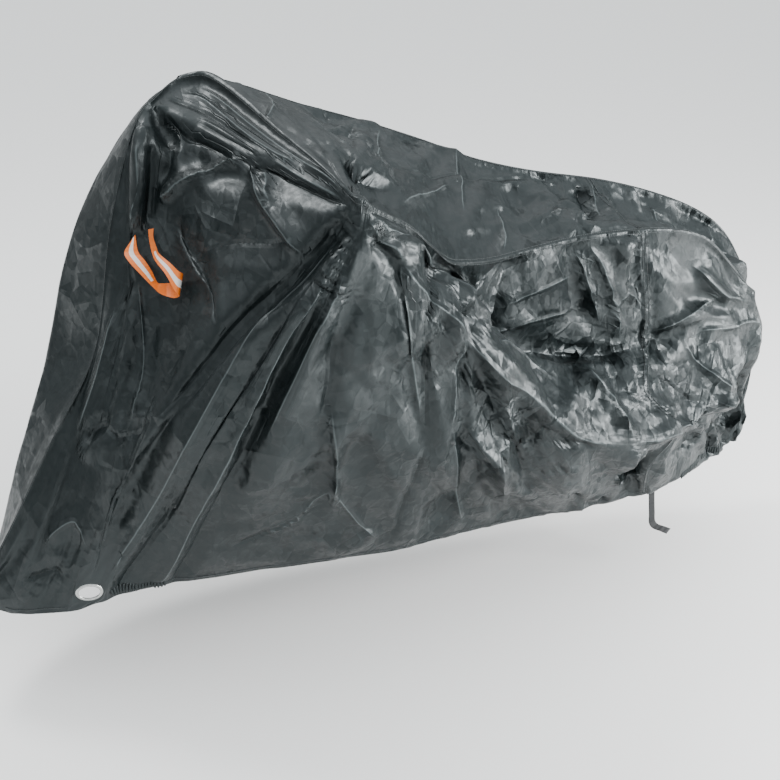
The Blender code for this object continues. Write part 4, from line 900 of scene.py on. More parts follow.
    def apply(self, grid: Grid, creases: Sequence[Crease]) -> None:
        """Press creases and crumples into a surface.

        Args:
            grid: the surface.
            creases: its listed creases.
        """
        spots = np.stack((grid.cloth_u, grid.cloth_v * self.facet_stretch), axis=-1)
        patches = self.noise(spots, self.patch_waves, self.seed + 40)
        grid.crumple = self.crumple(grid) * (1.0 + self.patch_share * patches)
        shift = np.zeros(grid.places.shape[:2])
        for order, (cell, tilt) in enumerate(zip(self.facet_cells, self.facet_tilts)):
            shift -= self.facets(spots, cell, self.seed + order * 10 + grid.side.value) * tilt * grid.crumple
        edge = np.minimum(grid.seam_gap, grid.fell_gap)
        shift *= ease(edge / self.facet_fade) * self.calm(grid)
        strained = self.crease_shift(grid, self.stress(grid), False)
        shift += strained.clip(-self.stress_limit, self.stress_limit) * grid.crumple
        shift += self.crease_shift(grid, creases, True)
        shift *= ease(edge / self.seam_fade)
        if grid.side is not Side.TOP:
            shift *= self.hem_share + (1.0 - self.hem_share) * ease((1.0 - grid.spots) / self.hem_fade)
        room = ease(np.linalg.norm(np.gradient(grid.places, axis=0), axis=2) / self.full_room)
        shift *= room
        grid.crease_near *= room
        if grid.side is not Side.RIGHT:
            shift -= read_table(SEAM_RIDGE, grid.stations) * np.exp(-grid.cloth_v / self.ridge_width)
        shift -= self.lap_depth * (1.0 - ease((edge - self.lap_reach) / self.lap_fade))
        grid.press(shift)


def add_node(tree: NodeTree, kind: str, settings: Mapping[str, object] | None = None,
             links: Mapping[str | int, object] | None = None) -> Node:
    """Add one node with its settings and what feeds its inputs.

    Args:
        tree: the tree that it goes in.
        kind: the node's type.
        settings: the node's own properties.
        links: for each input, another node's output or a plain value.

    Returns:
        The new node.
    """
    node = tree.nodes.new(kind)
    for name, value in (settings or {}).items():
        setattr(node, name, value)
    for name, value in (links or {}).items():
        if isinstance(value, NodeSocket):
            tree.links.new(value, node.inputs[name])
        else:
            node.inputs[name].default_value = value
    return node


def linear(hex_color: str) -> tuple[float, float, float, float]:
    """Turn an sRGB hex colour into a linear one.

    Args:
        hex_color: the colour, such as "1f2223".

    Returns:
        Linear red, green and blue, and an alpha of 1.
    """
    channels = [int(hex_color[k:k + 2], 16) / 255.0 for k in (0, 2, 4)]
    lit = [c / 12.92 if c <= 0.04045 else ((c + 0.055) / 1.055) ** 2.4 for c in channels]
    return (*lit, 1.0)


def new_material(name: str, roughness: float, metallic: float = 0.0) -> tuple[Material, Node]:
    """Start a material.

    Args:
        name: its name.
        roughness: the shader's roughness.
        metallic: the shader's metallic value.

    Returns:
        The material and its shader.
    """
    material = bpy.data.materials.new(name)
    material.use_nodes = True
    shader = material.node_tree.nodes["Principled BSDF"]
    shader.inputs["Roughness"].default_value = roughness
    shader.inputs["Metallic"].default_value = metallic
    return material, shader


@dataclass(frozen=True)
class CoatedPolyester:
    """Plain-woven polyester with a smooth coating: dark, faintly shiny, holds every crease.

    The coating gives broad soft highlights, and the crumples break them into facets.
    """

    name: str = "coated_polyester"
    cloth_hex: str = "111718"
    worn_hex: str = "1b2122"
    # Pale colour of raised crease crests: partly coating wear, partly a painted highlight.
    crest_wear_and_highlight_hex: str = "5d6566"
    roughness: float = 0.39
    # For each size of shard: its length in mm, its tilt, its ridges' height in mm and the pattern's turn.
    shard_sizes: tuple[tuple[float, float, float, float], ...] = (
        (85.0, 0.52, 1.8, 0.5), (32.0, 0.36, 0.9, 1.3), (12.0, 0.34, 0.0, 2.2))
    shard_stretch: tuple[float, float, float] = (1.0, 0.5, 0.75)
    ridge_share: float = 0.13
    drift_waves: float = 3.5
    drift_reach: float = 0.07
    patch_waves: float = 5.5
    fine_waves: float = 90.0
    fine_depth: float = 0.00012
    crease_line_mm: float = 2.2
    bend_mm: float = 9.0
    bend_depth: float = 0.0036
    thread_mm: float = 1.2
    thread_depth: float = 0.00003
    pucker_mm: float = 14.0
    pucker_from_mm: float = 4.0
    pucker_reach_mm: float = 30.0
    pucker_depth: float = 0.0026

    def shards(self, tree: NodeTree, place: NodeSocket,
               amount: NodeSocket) -> tuple[NodeSocket, NodeSocket]:
        """Break the surface into flat shards, each tilted its own way, with creases along some of their edges.

        Args:
            tree: the material's tree.
            place: places on the object in metres.
            amount: how strongly the cloth is crumpled there.

        Returns:
            The tilted normal, and the height of the creases in metres.
        """
        drift = add_node(tree, "ShaderNodeTexNoise", {}, {"Vector": place, "Scale": self.drift_waves, "Detail": 0.0})
        bent = add_node(tree, "ShaderNodeVectorMath", {"operation": "MULTIPLY_ADD"},
                        {0: drift.outputs["Color"], 1: (self.drift_reach,) * 3, 2: place})
        normal = add_node(tree, "ShaderNodeNewGeometry").outputs["Normal"]
        height = 0.0
        for size, tilt, line, turn in self.shard_sizes:
            turned = add_node(tree, "ShaderNodeMapping", {},
                              {"Vector": bent.outputs[0], "Rotation": (turn, 0.6 * turn, 0.3),
                               "Scale": self.shard_stretch})
            cell = add_node(tree, "ShaderNodeTexVoronoi", {},
                            {"Vector": turned.outputs[0], "Scale": 1000.0 / size})
            lean = add_node(tree, "ShaderNodeVectorMath", {"operation": "SUBTRACT"},
                            {0: cell.outputs["Color"], 1: (0.5, 0.5, 0.5)})
            share = add_node(tree, "ShaderNodeMath", {"operation": "MULTIPLY"}, {0: amount, 1: tilt})
            lean = add_node(tree, "ShaderNodeVectorMath", {"operation": "SCALE"},
                            {0: lean.outputs[0], "Scale": share.outputs[0]})
            normal = add_node(tree, "ShaderNodeVectorMath", {"operation": "ADD"},
                              {0: normal, 1: lean.outputs[0]}).outputs[0]
            if not line:
                continue
            edge = add_node(tree, "ShaderNodeTexVoronoi", {"feature": "DISTANCE_TO_EDGE"},
                            {"Vector": turned.outputs[0], "Scale": 1000.0 / size})
            shown = add_node(tree, "ShaderNodeTexNoise", {}, {"Vector": turned.outputs[0], "Scale": 600.0 / size,
                                                              "Detail": 0.0})
            shown = add_node(tree, "ShaderNodeMapRange", {}, {"Value": shown.outputs["Fac"], "From Min": 0.38,
                                                              "From Max": 0.62, "To Min": -1.0, "To Max": 1.0})
            ridge = add_node(tree, "ShaderNodeMapRange", {},
                             {"Value": edge.outputs["Distance"], "From Max": self.ridge_share,
                              "To Min": line / 1000.0, "To Max": 0.0})
            ridge = add_node(tree, "ShaderNodeMath", {"operation": "MULTIPLY"},
                             {0: ridge.outputs[0], 1: shown.outputs[0]})
            height = add_node(tree, "ShaderNodeMath", {"operation": "MULTIPLY_ADD"},
                              {0: ridge.outputs[0], 1: amount, 2: height}).outputs[0]
        return add_node(tree, "ShaderNodeVectorMath", {"operation": "NORMALIZE"}, {0: normal}).outputs[0], height

    def material(self) -> Material:
        """Build the cloth's material.

        Returns:
            The material.
        """
        material, shader = new_material(self.name, self.roughness)
        tree = material.node_tree
        cloth = add_node(tree, "ShaderNodeUVMap", {"uv_map": "cloth"}).outputs[0]
        place = add_node(tree, "ShaderNodeTexCoord").outputs["Object"]
        crumple = add_node(tree, "ShaderNodeAttribute", {"attribute_name": "crumple"})
        fine = add_node(tree, "ShaderNodeTexNoise", {}, {"Vector": place, "Scale": self.fine_waves, "Detail": 1.0})
        patch = add_node(tree, "ShaderNodeTexNoise", {}, {"Vector": place, "Scale": self.patch_waves, "Detail": 2.0})
        spread = add_node(tree, "ShaderNodeMapRange", {"interpolation_type": "SMOOTHSTEP"},
                          {"Value": patch.outputs["Fac"], "From Min": 0.38, "From Max": 0.60, "To Min": 0.5,
                           "To Max": 1.1})
        amount = add_node(tree, "ShaderNodeMath", {"operation": "MULTIPLY"},
                          {0: spread.outputs[0], 1: crumple.outputs["Fac"]})
        normal, height = self.shards(tree, place, amount.outputs[0])
        relief = [(fine.outputs["Fac"], self.fine_depth)]
        for gap_name, stretch in (("seam_gap", (1.0, 0.10, 1.0)), ("fell_gap", (0.10, 1.0, 1.0))):
            gap = add_node(tree, "ShaderNodeAttribute", {"attribute_name": gap_name})
            near = add_node(tree, "ShaderNodeMapRange", {"interpolation_type": "SMOOTHSTEP"},
                            {"Value": gap.outputs["Fac"], "From Min": self.pucker_from_mm / 1000.0,
                             "From Max": self.pucker_reach_mm / 1000.0, "To Min": 1.0, "To Max": 0.0})
            along = add_node(tree, "ShaderNodeMapping", {}, {"Vector": cloth, "Scale": stretch})
            pucker = add_node(tree, "ShaderNodeTexNoise", {"noise_dimensions": "2D"},
                              {"Vector": along.outputs[0], "Scale": 1000.0 / self.pucker_mm, "Detail": 1.0})
            lift = add_node(tree, "ShaderNodeMath", {"operation": "MULTIPLY"},
                            {0: pucker.outputs["Fac"], 1: near.outputs[0]})
            relief.append((lift.outputs[0], self.pucker_depth))
        # The real threads are about 0.2 mm apart; they are drawn coarser so that they can show from near by.
        weave = add_node(tree, "ShaderNodeTexWave", {"wave_type": "BANDS", "bands_direction": "DIAGONAL"},
                         {"Vector": cloth, "Scale": 1000.0 / self.thread_mm / 20.0, "Distortion": 0.4})
        relief.append((weave.outputs["Fac"], self.thread_depth))
        # Along every listed crease the cloth is bent sharply, and its raised crests are painted pale: partly wear of
        # the coating, partly a painted highlight.
        gap = add_node(tree, "ShaderNodeAttribute", {"attribute_name": "crease_gap"})
        gap = add_node(tree, "ShaderNodeMath", {"operation": "ABSOLUTE"}, {0: gap.outputs["Fac"]})
        near = add_node(tree, "ShaderNodeAttribute", {"attribute_name": "crease_near"})
        bend = add_node(tree, "ShaderNodeMapRange", {}, {"Value": gap.outputs[0], "From Max": self.bend_mm / 1000.0,
                                                         "To Min": self.bend_depth, "To Max": 0.0})
        relief.append((bend.outputs[0], near.outputs["Fac"]))
        for rise, share in relief:
            height = add_node(tree, "ShaderNodeMath", {"operation": "MULTIPLY_ADD"},
                              {0: rise, 1: share, 2: height}).outputs[0]
        line = add_node(tree, "ShaderNodeMapRange", {"interpolation_type": "SMOOTHSTEP"},
                        {"Value": gap.outputs[0], "From Min": 0.0004, "From Max": self.crease_line_mm / 1000.0,
                         "To Min": 0.6, "To Max": 0.0})
        crest_wear_and_highlight = add_node(tree, "ShaderNodeMath", {"operation": "MULTIPLY", "use_clamp": True},
                         {0: line.outputs[0], 1: near.outputs["Fac"]})
        bump = add_node(tree, "ShaderNodeBump", {}, {"Height": height, "Distance": 1.0, "Strength": 1.0,
                                                     "Normal": normal})
        tree.links.new(bump.outputs[0], shader.inputs["Normal"])
        # Paler patches at random where the coating is worn.
        wear_and_highlight = add_node(tree, "ShaderNodeMapRange", {"interpolation_type": "SMOOTHSTEP"},
                        {"Value": patch.outputs["Fac"], "From Min": 0.35, "From Max": 0.70, "To Max": 0.5})
        color = add_node(tree, "ShaderNodeMix", {"data_type": "RGBA"},
                         {0: wear_and_highlight.outputs[0], 6: linear(self.cloth_hex), 7: linear(self.worn_hex)})
        # Raised crease crests painted pale: partly coating wear, partly a painted highlight.
        color = add_node(tree, "ShaderNodeMix", {"data_type": "RGBA"},
                         {0: crest_wear_and_highlight.outputs[0], 6: color.outputs[2], 7: linear(self.crest_wear_and_highlight_hex)})
        tree.links.new(color.outputs[2], shader.inputs["Base Color"])
        gloss = add_node(tree, "ShaderNodeMapRange", {}, {"Value": fine.outputs["Fac"], "From Min": 0.3,
                                                          "From Max": 0.7, "To Min": self.roughness - 0.05,
                                                          "To Max": self.roughness + 0.08})
        tree.links.new(gloss.outputs[0], shader.inputs["Roughness"])
        shader.inputs["Specular IOR Level"].default_value = 0.42
        shader.inputs["Specular Tint"].default_value = linear("eff9fb")
        return material


@dataclass(frozen=True)
class ReflectiveRibbon:
    """Woven fluorescent ribbon, with a stripe of silver glass beads where it faces out."""

    name: str = "reflective_ribbon"
    ribbon_hex: str = "d86400"
    bead_hex: str = "d6d3d0"
    plain_runs_mm: tuple[tuple[float, float], ...] = ()
    rib_mm: float = 1.6

    def material(self) -> Material:
        """Build the ribbon's material.

        Returns:
            The material.
        """
        material, shader = new_material(self.name, 0.55)
        tree = material.node_tree
        cloth = add_node(tree, "ShaderNodeUVMap", {"uv_map": "cloth"}).outputs[0]
        across = add_node(tree, "ShaderNodeSeparateXYZ", {}, {0: cloth})
        soil = add_node(tree, "ShaderNodeTexNoise", {}, {"Vector": cloth, "Scale": 90.0, "Detail": 2.0})
        tint = add_node(tree, "ShaderNodeMix", {"data_type": "RGBA"},
                        {0: soil.outputs["Fac"], 6: linear(self.ribbon_hex), 7: linear("e07008")})
        off = add_node(tree, "ShaderNodeMath", {"operation": "SUBTRACT"}, {0: across.outputs[1], 1: 0.5})
        off = add_node(tree, "ShaderNodeMath", {"operation": "ABSOLUTE"}, {0: off.outputs[0]})
        stripe = add_node(tree, "ShaderNodeMapRange", {}, {"Value": off.outputs[0], "From Min": 0.165,
                                                           "From Max": 0.175, "To Min": 1.0, "To Max": 0.0})
        for start, end in self.plain_runs_mm:
            inside = add_node(tree, "ShaderNodeMath", {"operation": "COMPARE"},
                              {0: across.outputs[0], 1: (start + end) / 2000.0, 2: (end - start) / 2000.0})
            stripe = add_node(tree, "ShaderNodeMath", {"operation": "SUBTRACT", "use_clamp": True},
                              {0: stripe.outputs[0], 1: inside.outputs[0]})
        color = add_node(tree, "ShaderNodeMix", {"data_type": "RGBA"},
                         {0: stripe.outputs[0], 6: tint.outputs[2], 7: linear(self.bead_hex)})
        tree.links.new(color.outputs[2], shader.inputs["Base Color"])
        rib = add_node(tree, "ShaderNodeTexWave", {"wave_type": "BANDS", "bands_direction": "X"},
                       {"Vector": cloth, "Scale": 1000.0 / self.rib_mm / 20.0, "Distortion": 0.2})
        bump = add_node(tree, "ShaderNodeBump", {}, {"Height": rib.outputs["Fac"], "Distance": 0.0003, "Strength": 0.8})
        tree.links.new(bump.outputs[0], shader.inputs["Normal"])
        return material


@dataclass(frozen=True)
class Webbing:
    """Flat woven polypropylene webbing, dull, paler where its cut end is sealed."""

    name: str = "webbing"
    web_hex: str = "1c1e20"
    end_hex: str = "4a4d4e"
    end_from_m: float = 0.175
    rib_mm: float = 2.0

    def material(self) -> Material:
        """Build the webbing's material.

        Returns:
            The material.
        """
        material, shader = new_material(self.name, 0.72)
        tree = material.node_tree
        cloth = add_node(tree, "ShaderNodeUVMap", {"uv_map": "cloth"}).outputs[0]
        along = add_node(tree, "ShaderNodeSeparateXYZ", {}, {0: cloth})
        end = add_node(tree, "ShaderNodeMapRange", {}, {"Value": along.outputs[0], "From Min": self.end_from_m,
                                                        "From Max": self.end_from_m + 0.004})
        color = add_node(tree, "ShaderNodeMix", {"data_type": "RGBA"},
                         {0: end.outputs[0], 6: linear(self.web_hex), 7: linear(self.end_hex)})
        tree.links.new(color.outputs[2], shader.inputs["Base Color"])
        rib = add_node(tree, "ShaderNodeTexWave", {"wave_type": "BANDS", "bands_direction": "X"},
                       {"Vector": cloth, "Scale": 1000.0 / self.rib_mm / 20.0, "Distortion": 0.5})
        bump = add_node(tree, "ShaderNodeBump", {}, {"Height": rib.outputs["Fac"], "Distance": 0.0006, "Strength": 1.0})
        tree.links.new(bump.outputs[0], shader.inputs["Normal"])
        return material


@dataclass(frozen=True)
class SewingThread:
    """Spun polyester thread, a little paler than the cloth, so that the rows of stitches show."""

    name: str = "polyester_thread"
    thread_hex: str = "4a5051"

    def material(self) -> Material:
        """Build the thread's material.

        Returns:
            The material.
        """
        material, shader = new_material(self.name, 0.62)
        tree = material.node_tree
        place = add_node(tree, "ShaderNodeTexCoord").outputs["Object"]
        twist = add_node(tree, "ShaderNodeTexNoise", {}, {"Vector": place, "Scale": 300.0})
        color = add_node(tree, "ShaderNodeMix", {"data_type": "RGBA"},
                         {0: twist.outputs["Fac"], 6: linear("2c3132"), 7: linear(self.thread_hex)})
        tree.links.new(color.outputs[2], shader.inputs["Base Color"])
        return material


@dataclass(frozen=True)
class PlatedSteel:
    """Pressed steel with a dull nickel plate, lightly scuffed by the lock."""

    name: str = "plated_steel"
    steel_hex: str = "c6c8c6"

    def material(self) -> Material:
        """Build the plated steel's material.

        Returns:
            The material.
        """
        material, shader = new_material(self.name, 0.30, 1.0)
        tree = material.node_tree
        place = add_node(tree, "ShaderNodeTexCoord").outputs["Object"]
        scuff = add_node(tree, "ShaderNodeTexNoise", {}, {"Vector": place, "Scale": 260.0, "Detail": 4.0})
        color = add_node(tree, "ShaderNodeMix", {"data_type": "RGBA"},
                         {0: scuff.outputs["Fac"], 6: linear("a9aba9"), 7: linear(self.steel_hex)})
        tree.links.new(color.outputs[2], shader.inputs["Base Color"])
        gloss = add_node(tree, "ShaderNodeMapRange", {}, {"Value": scuff.outputs["Fac"], "From Min": 0.3,
                                                          "From Max": 0.7, "To Min": 0.22, "To Max": 0.42})
        tree.links.new(gloss.outputs[0], shader.inputs["Roughness"])
        bump = add_node(tree, "ShaderNodeBump", {}, {"Height": scuff.outputs["Fac"], "Distance": 0.0001,
                                                     "Strength": 0.6})
        tree.links.new(bump.outputs[0], shader.inputs["Normal"])
        return material


@dataclass(frozen=True)
class PaleFloor:
    """Matt pale board under the cover, almost white."""

    name: str = "pale_board"
    board_hex: str = "f3f3f2"

    def material(self) -> Material:
        """Build the floor's material.

        Returns:
            The material.
        """
        material, shader = new_material(self.name, 0.9)
        shader.inputs["Base Color"].default_value = linear(self.board_hex)
        return material


def add_object(name: str, data: ID) -> Object:
    """Put a new object in the scene.

    Args:
        name: its name.
        data: its mesh, curve, light or camera.

    Returns:
        The object.
    """
    made = bpy.data.objects.new(name, data)
    bpy.context.scene.collection.objects.link(made)
    return made


def sheet_mesh(name: str, places: np.ndarray, normals: np.ndarray, depth: np.ndarray, uv: np.ndarray,
               materials: Sequence[Material], active: np.ndarray | None = None,
               marks: Mapping[str, np.ndarray] | None = None, turned: bool = False) -> Object:
    """Make a thin closed sheet from a grid.

    Args:
        name: the new object's name.
        places: outer places by column and row.
        normals: outward normals by column and row.
        depth: thickness by column and row.
        uv: flat cloth places by column and row.
        materials: for the outer face and the rim, then for the inner face if it has its own.
        active: which cells are cloth.
        marks: named numbers for the finish, by column and row.
        turned: True where the grid's own order faces inward.

    Returns:
        The new object, linked to the scene.
    """
    columns, rows = places.shape[:2]
    cells = np.ones((columns - 1, rows - 1), bool) if active is None else active
    index = np.arange(columns * rows).reshape(columns, rows)
    a, b, c, d = index[:-1, :-1], index[1:, :-1], index[1:, 1:], index[:-1, 1:]
    half = np.concatenate((np.stack((a, b, c), -1)[cells], np.stack((a, c, d), -1)[cells]))
    outer = half[:, ::-1] if turned else half
    inner = outer[:, ::-1] + columns * rows
    padded = np.pad(cells, 1)
    rims = []
    for start, end, beyond in ((a, b, padded[1:-1, :-2]), (b, c, padded[2:, 1:-1]),
                               (c, d, padded[1:-1, 2:]), (d, a, padded[:-2, 1:-1])):
        open_side = cells & ~beyond
        rims.append(np.stack((start[open_side], end[open_side]), -1))
    rim = np.concatenate(rims)
    if turned:
        rim = rim[:, ::-1]
    low = rim + columns * rows
    walls = np.concatenate((np.stack((rim[:, 1], rim[:, 0], low[:, 0]), -1),
                            np.stack((rim[:, 1], low[:, 0], low[:, 1]), -1)))
    faces = np.concatenate((outer, inner, walls))
    points = np.concatenate((places.reshape(-1, 3), (places - normals * depth[..., None]).reshape(-1, 3)))
    used = np.zeros(len(points), bool)
    used[faces.ravel()] = True
    renumber = np.cumsum(used) - 1
    mesh = bpy.data.meshes.new(name)
    mesh.from_pydata((points[used] - REST_POINT).tolist(), [], renumber[faces].tolist())
    flat = np.tile(uv.reshape(-1, 2), (2, 1))[used]
    layer = mesh.uv_layers.new(name="cloth")
    corners = np.empty(len(mesh.loops), int)
    mesh.loops.foreach_get("vertex_index", corners)
    layer.data.foreach_set("uv", flat[corners].astype(np.float32).ravel())
    for mark, values in (marks or {}).items():
        attribute = mesh.attributes.new(mark, "FLOAT", "POINT")
        attribute.data.foreach_set("value", np.tile(values.ravel(), 2)[used].astype(np.float32))
    for material in materials:
        mesh.materials.append(material)
    if len(materials) > 1:
        side = np.zeros(len(faces), int)
        side[len(outer):len(outer) + len(inner)] = 1
        mesh.polygons.foreach_set("material_index", side)
    mesh.polygons.foreach_set("use_smooth", np.ones(len(faces), bool))
    mesh.set_sharp_from_angle(angle=math.radians(70.0))
    mesh.update()
    return add_object(name, mesh)


def sheet_area(piece: Object) -> float:
    """Area of one face of a thin sheet, in square metres."""
    return sum(polygon.area for polygon in piece.data.polygons) / 2.0


@dataclass
class SheetPanel:
    """One cut panel of the cover, from one station to another of a fine surface."""

    name: str
    first: float
    last: float
    flat: tuple[float, float]
    area: float
    neighbour: str
    notch: tuple[float, float, float] | None = None
    thickness: float = 0.0008
    hem_extra: float = 0.0010
    hem_height: float = 0.013

    def build(self, grid: Grid, finish: Material) -> Object:
        """Make the panel's sheet and attach it to the body.

        Args:
            grid: the fine surface that it is cut from.
            finish: its material.

        Returns:
            The panel's object.
        """
        low, high = grid.column(self.first), grid.column(self.last)
        span = np.s_[low:high + 1]
        active = np.ones((high - low, len(grid.spots) - 1), bool)
        if self.notch:
            start, end, drop = self.notch
            active[grid.column(start) - low:grid.column(end) - low, grid.row(drop):] = False
        depth = self.thickness + self.hem_extra * (grid.hem_gap[span] < self.hem_height)
        uv = np.stack((grid.cloth_u[span], grid.cloth_v[span]), axis=-1)
        marks = {"seam_gap": grid.seam_gap[span], "fell_gap": grid.fell_gap[span], "crumple": grid.crumple[span],
                 "crease_gap": grid.crease_gap[span], "crease_near": grid.crease_near[span]}
        piece = sheet_mesh(f"{self.name}_cloth", grid.places[span], grid.normals[span], depth, uv, [finish], active,
                           marks, turned=grid.side is Side.LEFT)
        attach(piece, BODY)
        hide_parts(self.name)
        LOG.info("%s: %d faces, %.3f m2", piece.name, len(piece.data.polygons), sheet_area(piece))
        return piece


@dataclass
class EyeletStrip:
    """The doubled strip in the left hem, flat round its oval hole, and the ring pressed into it."""

    center: tuple[float, float, float] = (-1.3475, -0.2185, 0.2629)
    facing: tuple[float, float, float] = (-0.1221, -0.9805, -0.1542)
    half_width: float = 0.0245
    half_height: float = 0.0185
    margin: float = 0.0070
    notch: tuple[float, float, float] = (4.1, 7.2, 0.90)
    thickness: float = 0.0016
    hole_gap: float = 0.0006
    even_share: float = 0.7
    ripple_depth: float = 0.0012
    rings: int = 9
    ring_steps: int = 96
    weld: float = 0.00002

    def axes(self) -> tuple[np.ndarray, np.ndarray, np.ndarray]:
        """Directions across the oval, up it and out of the cloth.

        Returns:
            The three directions.
        """
        normal = np.array(self.facing)
        across = unit(np.cross((0.0, 0.0, 1.0), normal))
        return across, np.cross(normal, across), normal

    def place(self, angle: float, offset: float, height: float) -> np.ndarray:
        """A place beside the oval.

        Args:
            angle: where round the oval.
            offset: how far outward from its edge.
            height: how far off the cloth.

        Returns:
            The place.
        """
        across, upright, normal = self.axes()
        lean = unit(np.array((self.half_height * math.cos(angle), self.half_width * math.sin(angle))))
        side = self.half_width * math.cos(angle) + offset * lean[0]
        rise = self.half_height * math.sin(angle) + offset * lean[1]
        return np.array(self.center) + across * side + upright * rise + normal * height

    def rim(self, grid: Grid) -> tuple[np.ndarray, np.ndarray]:
        """Places and normals round the notch of the left panel, in order.

        Args:
            grid: the left surface.

        Returns:
            The places and the normals.
        """
        first, last = grid.column(self.notch[0]), grid.column(self.notch[1])
        row = grid.row(self.notch[2])
        bottom = len(grid.spots) - 1
        spots = [(first, j) for j in range(bottom, row, -1)] + [(i, row) for i in range(first, last)]
        spots += [(last, j) for j in range(row, bottom)] + [(i, bottom) for i in range(last, first, -1)]
        return np.array([grid.places[spot] for spot in spots]), np.array([grid.normals[spot] for spot in spots])

    def build_strip(self, grid: Grid, finish: Material) -> Object:
        """Make the strip between the notch and the oval hole.

        Args:
            grid: the left surface.
            finish: the strip's material.

        Returns:
            The strip's object.
        """
        rim, rim_normals = self.rim(grid)
        across, upright, normal = self.axes()
        away = rim - np.array(self.center)
        facing = np.unwrap(np.arctan2(away @ upright / self.half_height, away @ across / self.half_width))
        turn = math.copysign(math.tau, facing[-1] - facing[0])
        even = np.arange(len(rim)) * turn / len(rim)
        angles = facing + (even + (facing - even).mean() - facing) * self.even_share
        columns, faces = [], []
        for k, angle in enumerate(angles):
            hole, flat = self.place(angle, self.hole_gap, 0.0), self.place(angle, self.margin, 0.0)
            column, lean = [hole, (hole + flat) / 2.0, flat], [normal, normal, normal]
            for t in np.linspace(0.0, 1.0, self.rings + 1)[1:]:
                ripple = self.ripple_depth * math.sin(7.0 * angle + 5.0 * t) * math.sin(math.pi * t)
                column.append(flat * (1.0 - t) + rim[k] * t + normal * ripple)
                lean.append(unit(normal * (1.0 - t) + rim_normals[k] * t))
            columns.append(column)
            faces.append(lean)
        places, normals = np.array(columns + columns[:1]), np.array(faces + faces[:1])
        side, rise = (places - np.array(self.center)) @ across, (places - np.array(self.center)) @ upright
        gaps = np.full(places.shape[:2], 1.0)
        piece = sheet_mesh("eyelet_strip_cloth", places, normals, np.full(gaps.shape, self.thickness),
                           np.stack((side, rise), -1), [finish], None, {"seam_gap": gaps, "fell_gap": gaps,
                            "crumple": gaps * 0.6, "crease_gap": gaps, "crease_near": gaps * 0.0},
                           turned=turn > 0.0)
        work = bmesh.new()
        work.from_mesh(piece.data)
        bmesh.ops.remove_doubles(work, verts=work.verts, dist=self.weld)
        doubled = [f for f in work.faces if all(len(e.link_faces) > 2 for e in f.edges)]
        bmesh.ops.delete(work, geom=doubled, context="FACES_ONLY")
        bmesh.ops.recalc_face_normals(work, faces=work.faces)
        work.to_mesh(piece.data)
        work.free()
        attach(piece, BODY)
        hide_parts("eyelet_strip")
        return piece

    def build_ring(self, finish: Material) -> Object:
        """Make the oval ring, rolled over on both sides of the strip.

        Args:
            finish: the ring's material.

        Returns:
            The ring's object.
        """
        back = -self.thickness - 0.0001
        section = ((-0.0020, -0.0006), (-0.0018, 0.0008), (-0.0006, 0.0017), (0.0010, 0.0020), (0.0028, 0.0017),
                   (0.0042, 0.0009), (0.0046, 0.0002), (0.0042, 0.0001), (-0.0004, 0.0001), (-0.0004, back),
                   (0.0036, back), (0.0040, back - 0.0004), (0.0026, back - 0.0012), (0.0006, back - 0.0014),
                   (-0.0010, back - 0.0008))
        work = bmesh.new()
        loops = []
        for step in range(self.ring_steps):
            angle = math.tau * step / self.ring_steps
            loops.append([work.verts.new(self.place(angle, offset, height) - REST_POINT)
                          for offset, height in section])
        for one, other in zip(loops, loops[1:] + loops[:1]):
            for k in range(len(section)):
                after = (k + 1) % len(section)
                work.faces.new((one[k], one[after], other[after], other[k]))
        bmesh.ops.recalc_face_normals(work, faces=work.faces)
        mesh = bpy.data.meshes.new("lock_eyelet_ring")
        work.to_mesh(mesh)
        work.free()
        mesh.materials.append(finish)
        mesh.shade_smooth()
        mesh.set_sharp_from_angle(angle=math.radians(50.0))
        piece = add_object("lock_eyelet_ring", mesh)
        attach(piece, BODY)
        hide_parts("lock_eyelet")
        return piece


@dataclass
class Ribbon:
    """A flat ribbon or strap through its cross lines."""

    name: str
    node: str
    slot: str
    rungs: Sequence[Rung]
    thickness: float
    steps: int = 8
    across: int = 6
    crown: float = 0.0

    def build(self, finishes: Sequence[Material]) -> Object:
        """Make the ribbon.

        Args:
            finishes: the outer face's material, then the inner face's.

        Returns:
            The ribbon's object.
        """
        near = through_points([rung.near for rung in self.rungs], self.steps)
        far = through_points([rung.far for rung in self.rungs], self.steps)
        along = np.gradient((near + far) / 2.0, axis=0)
        face = unit(np.cross(along, far - near))
        for index in range(1, len(face)):
            if np.dot(face[index], face[index - 1]) < 0.0:
                face[index] *= -1.0
        spread = np.linspace(0.0, 1.0, self.across + 1)[None, :, None]
        places = near[:, None, :] * (1.0 - spread) + far[:, None, :] * spread
        places = places + face[:, None, :] * (self.thickness / 2.0 + self.crown * np.sin(spread * math.pi))
        normals = np.repeat(face[:, None, :], self.across + 1, axis=1)
        run = np.concatenate(([0.0], np.cumsum(np.linalg.norm(along[1:], axis=1))))
        uv = np.stack(np.broadcast_arrays(run[:, None], spread[:, :, 0]), axis=-1)
        piece = sheet_mesh(self.name, places, normals, np.full(places.shape[:2], self.thickness), uv, finishes)
        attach(piece, BODY)
        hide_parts(self.node)
        LOG.info("%s: %.3f m long, %.4f m2", piece.name, run[-1], sheet_area(piece))
        return piece


class RowOf(Enum):
    """What a row of small repeated pieces is made of."""

    STITCHES = "stitches"
    GATHERS = "gathers"


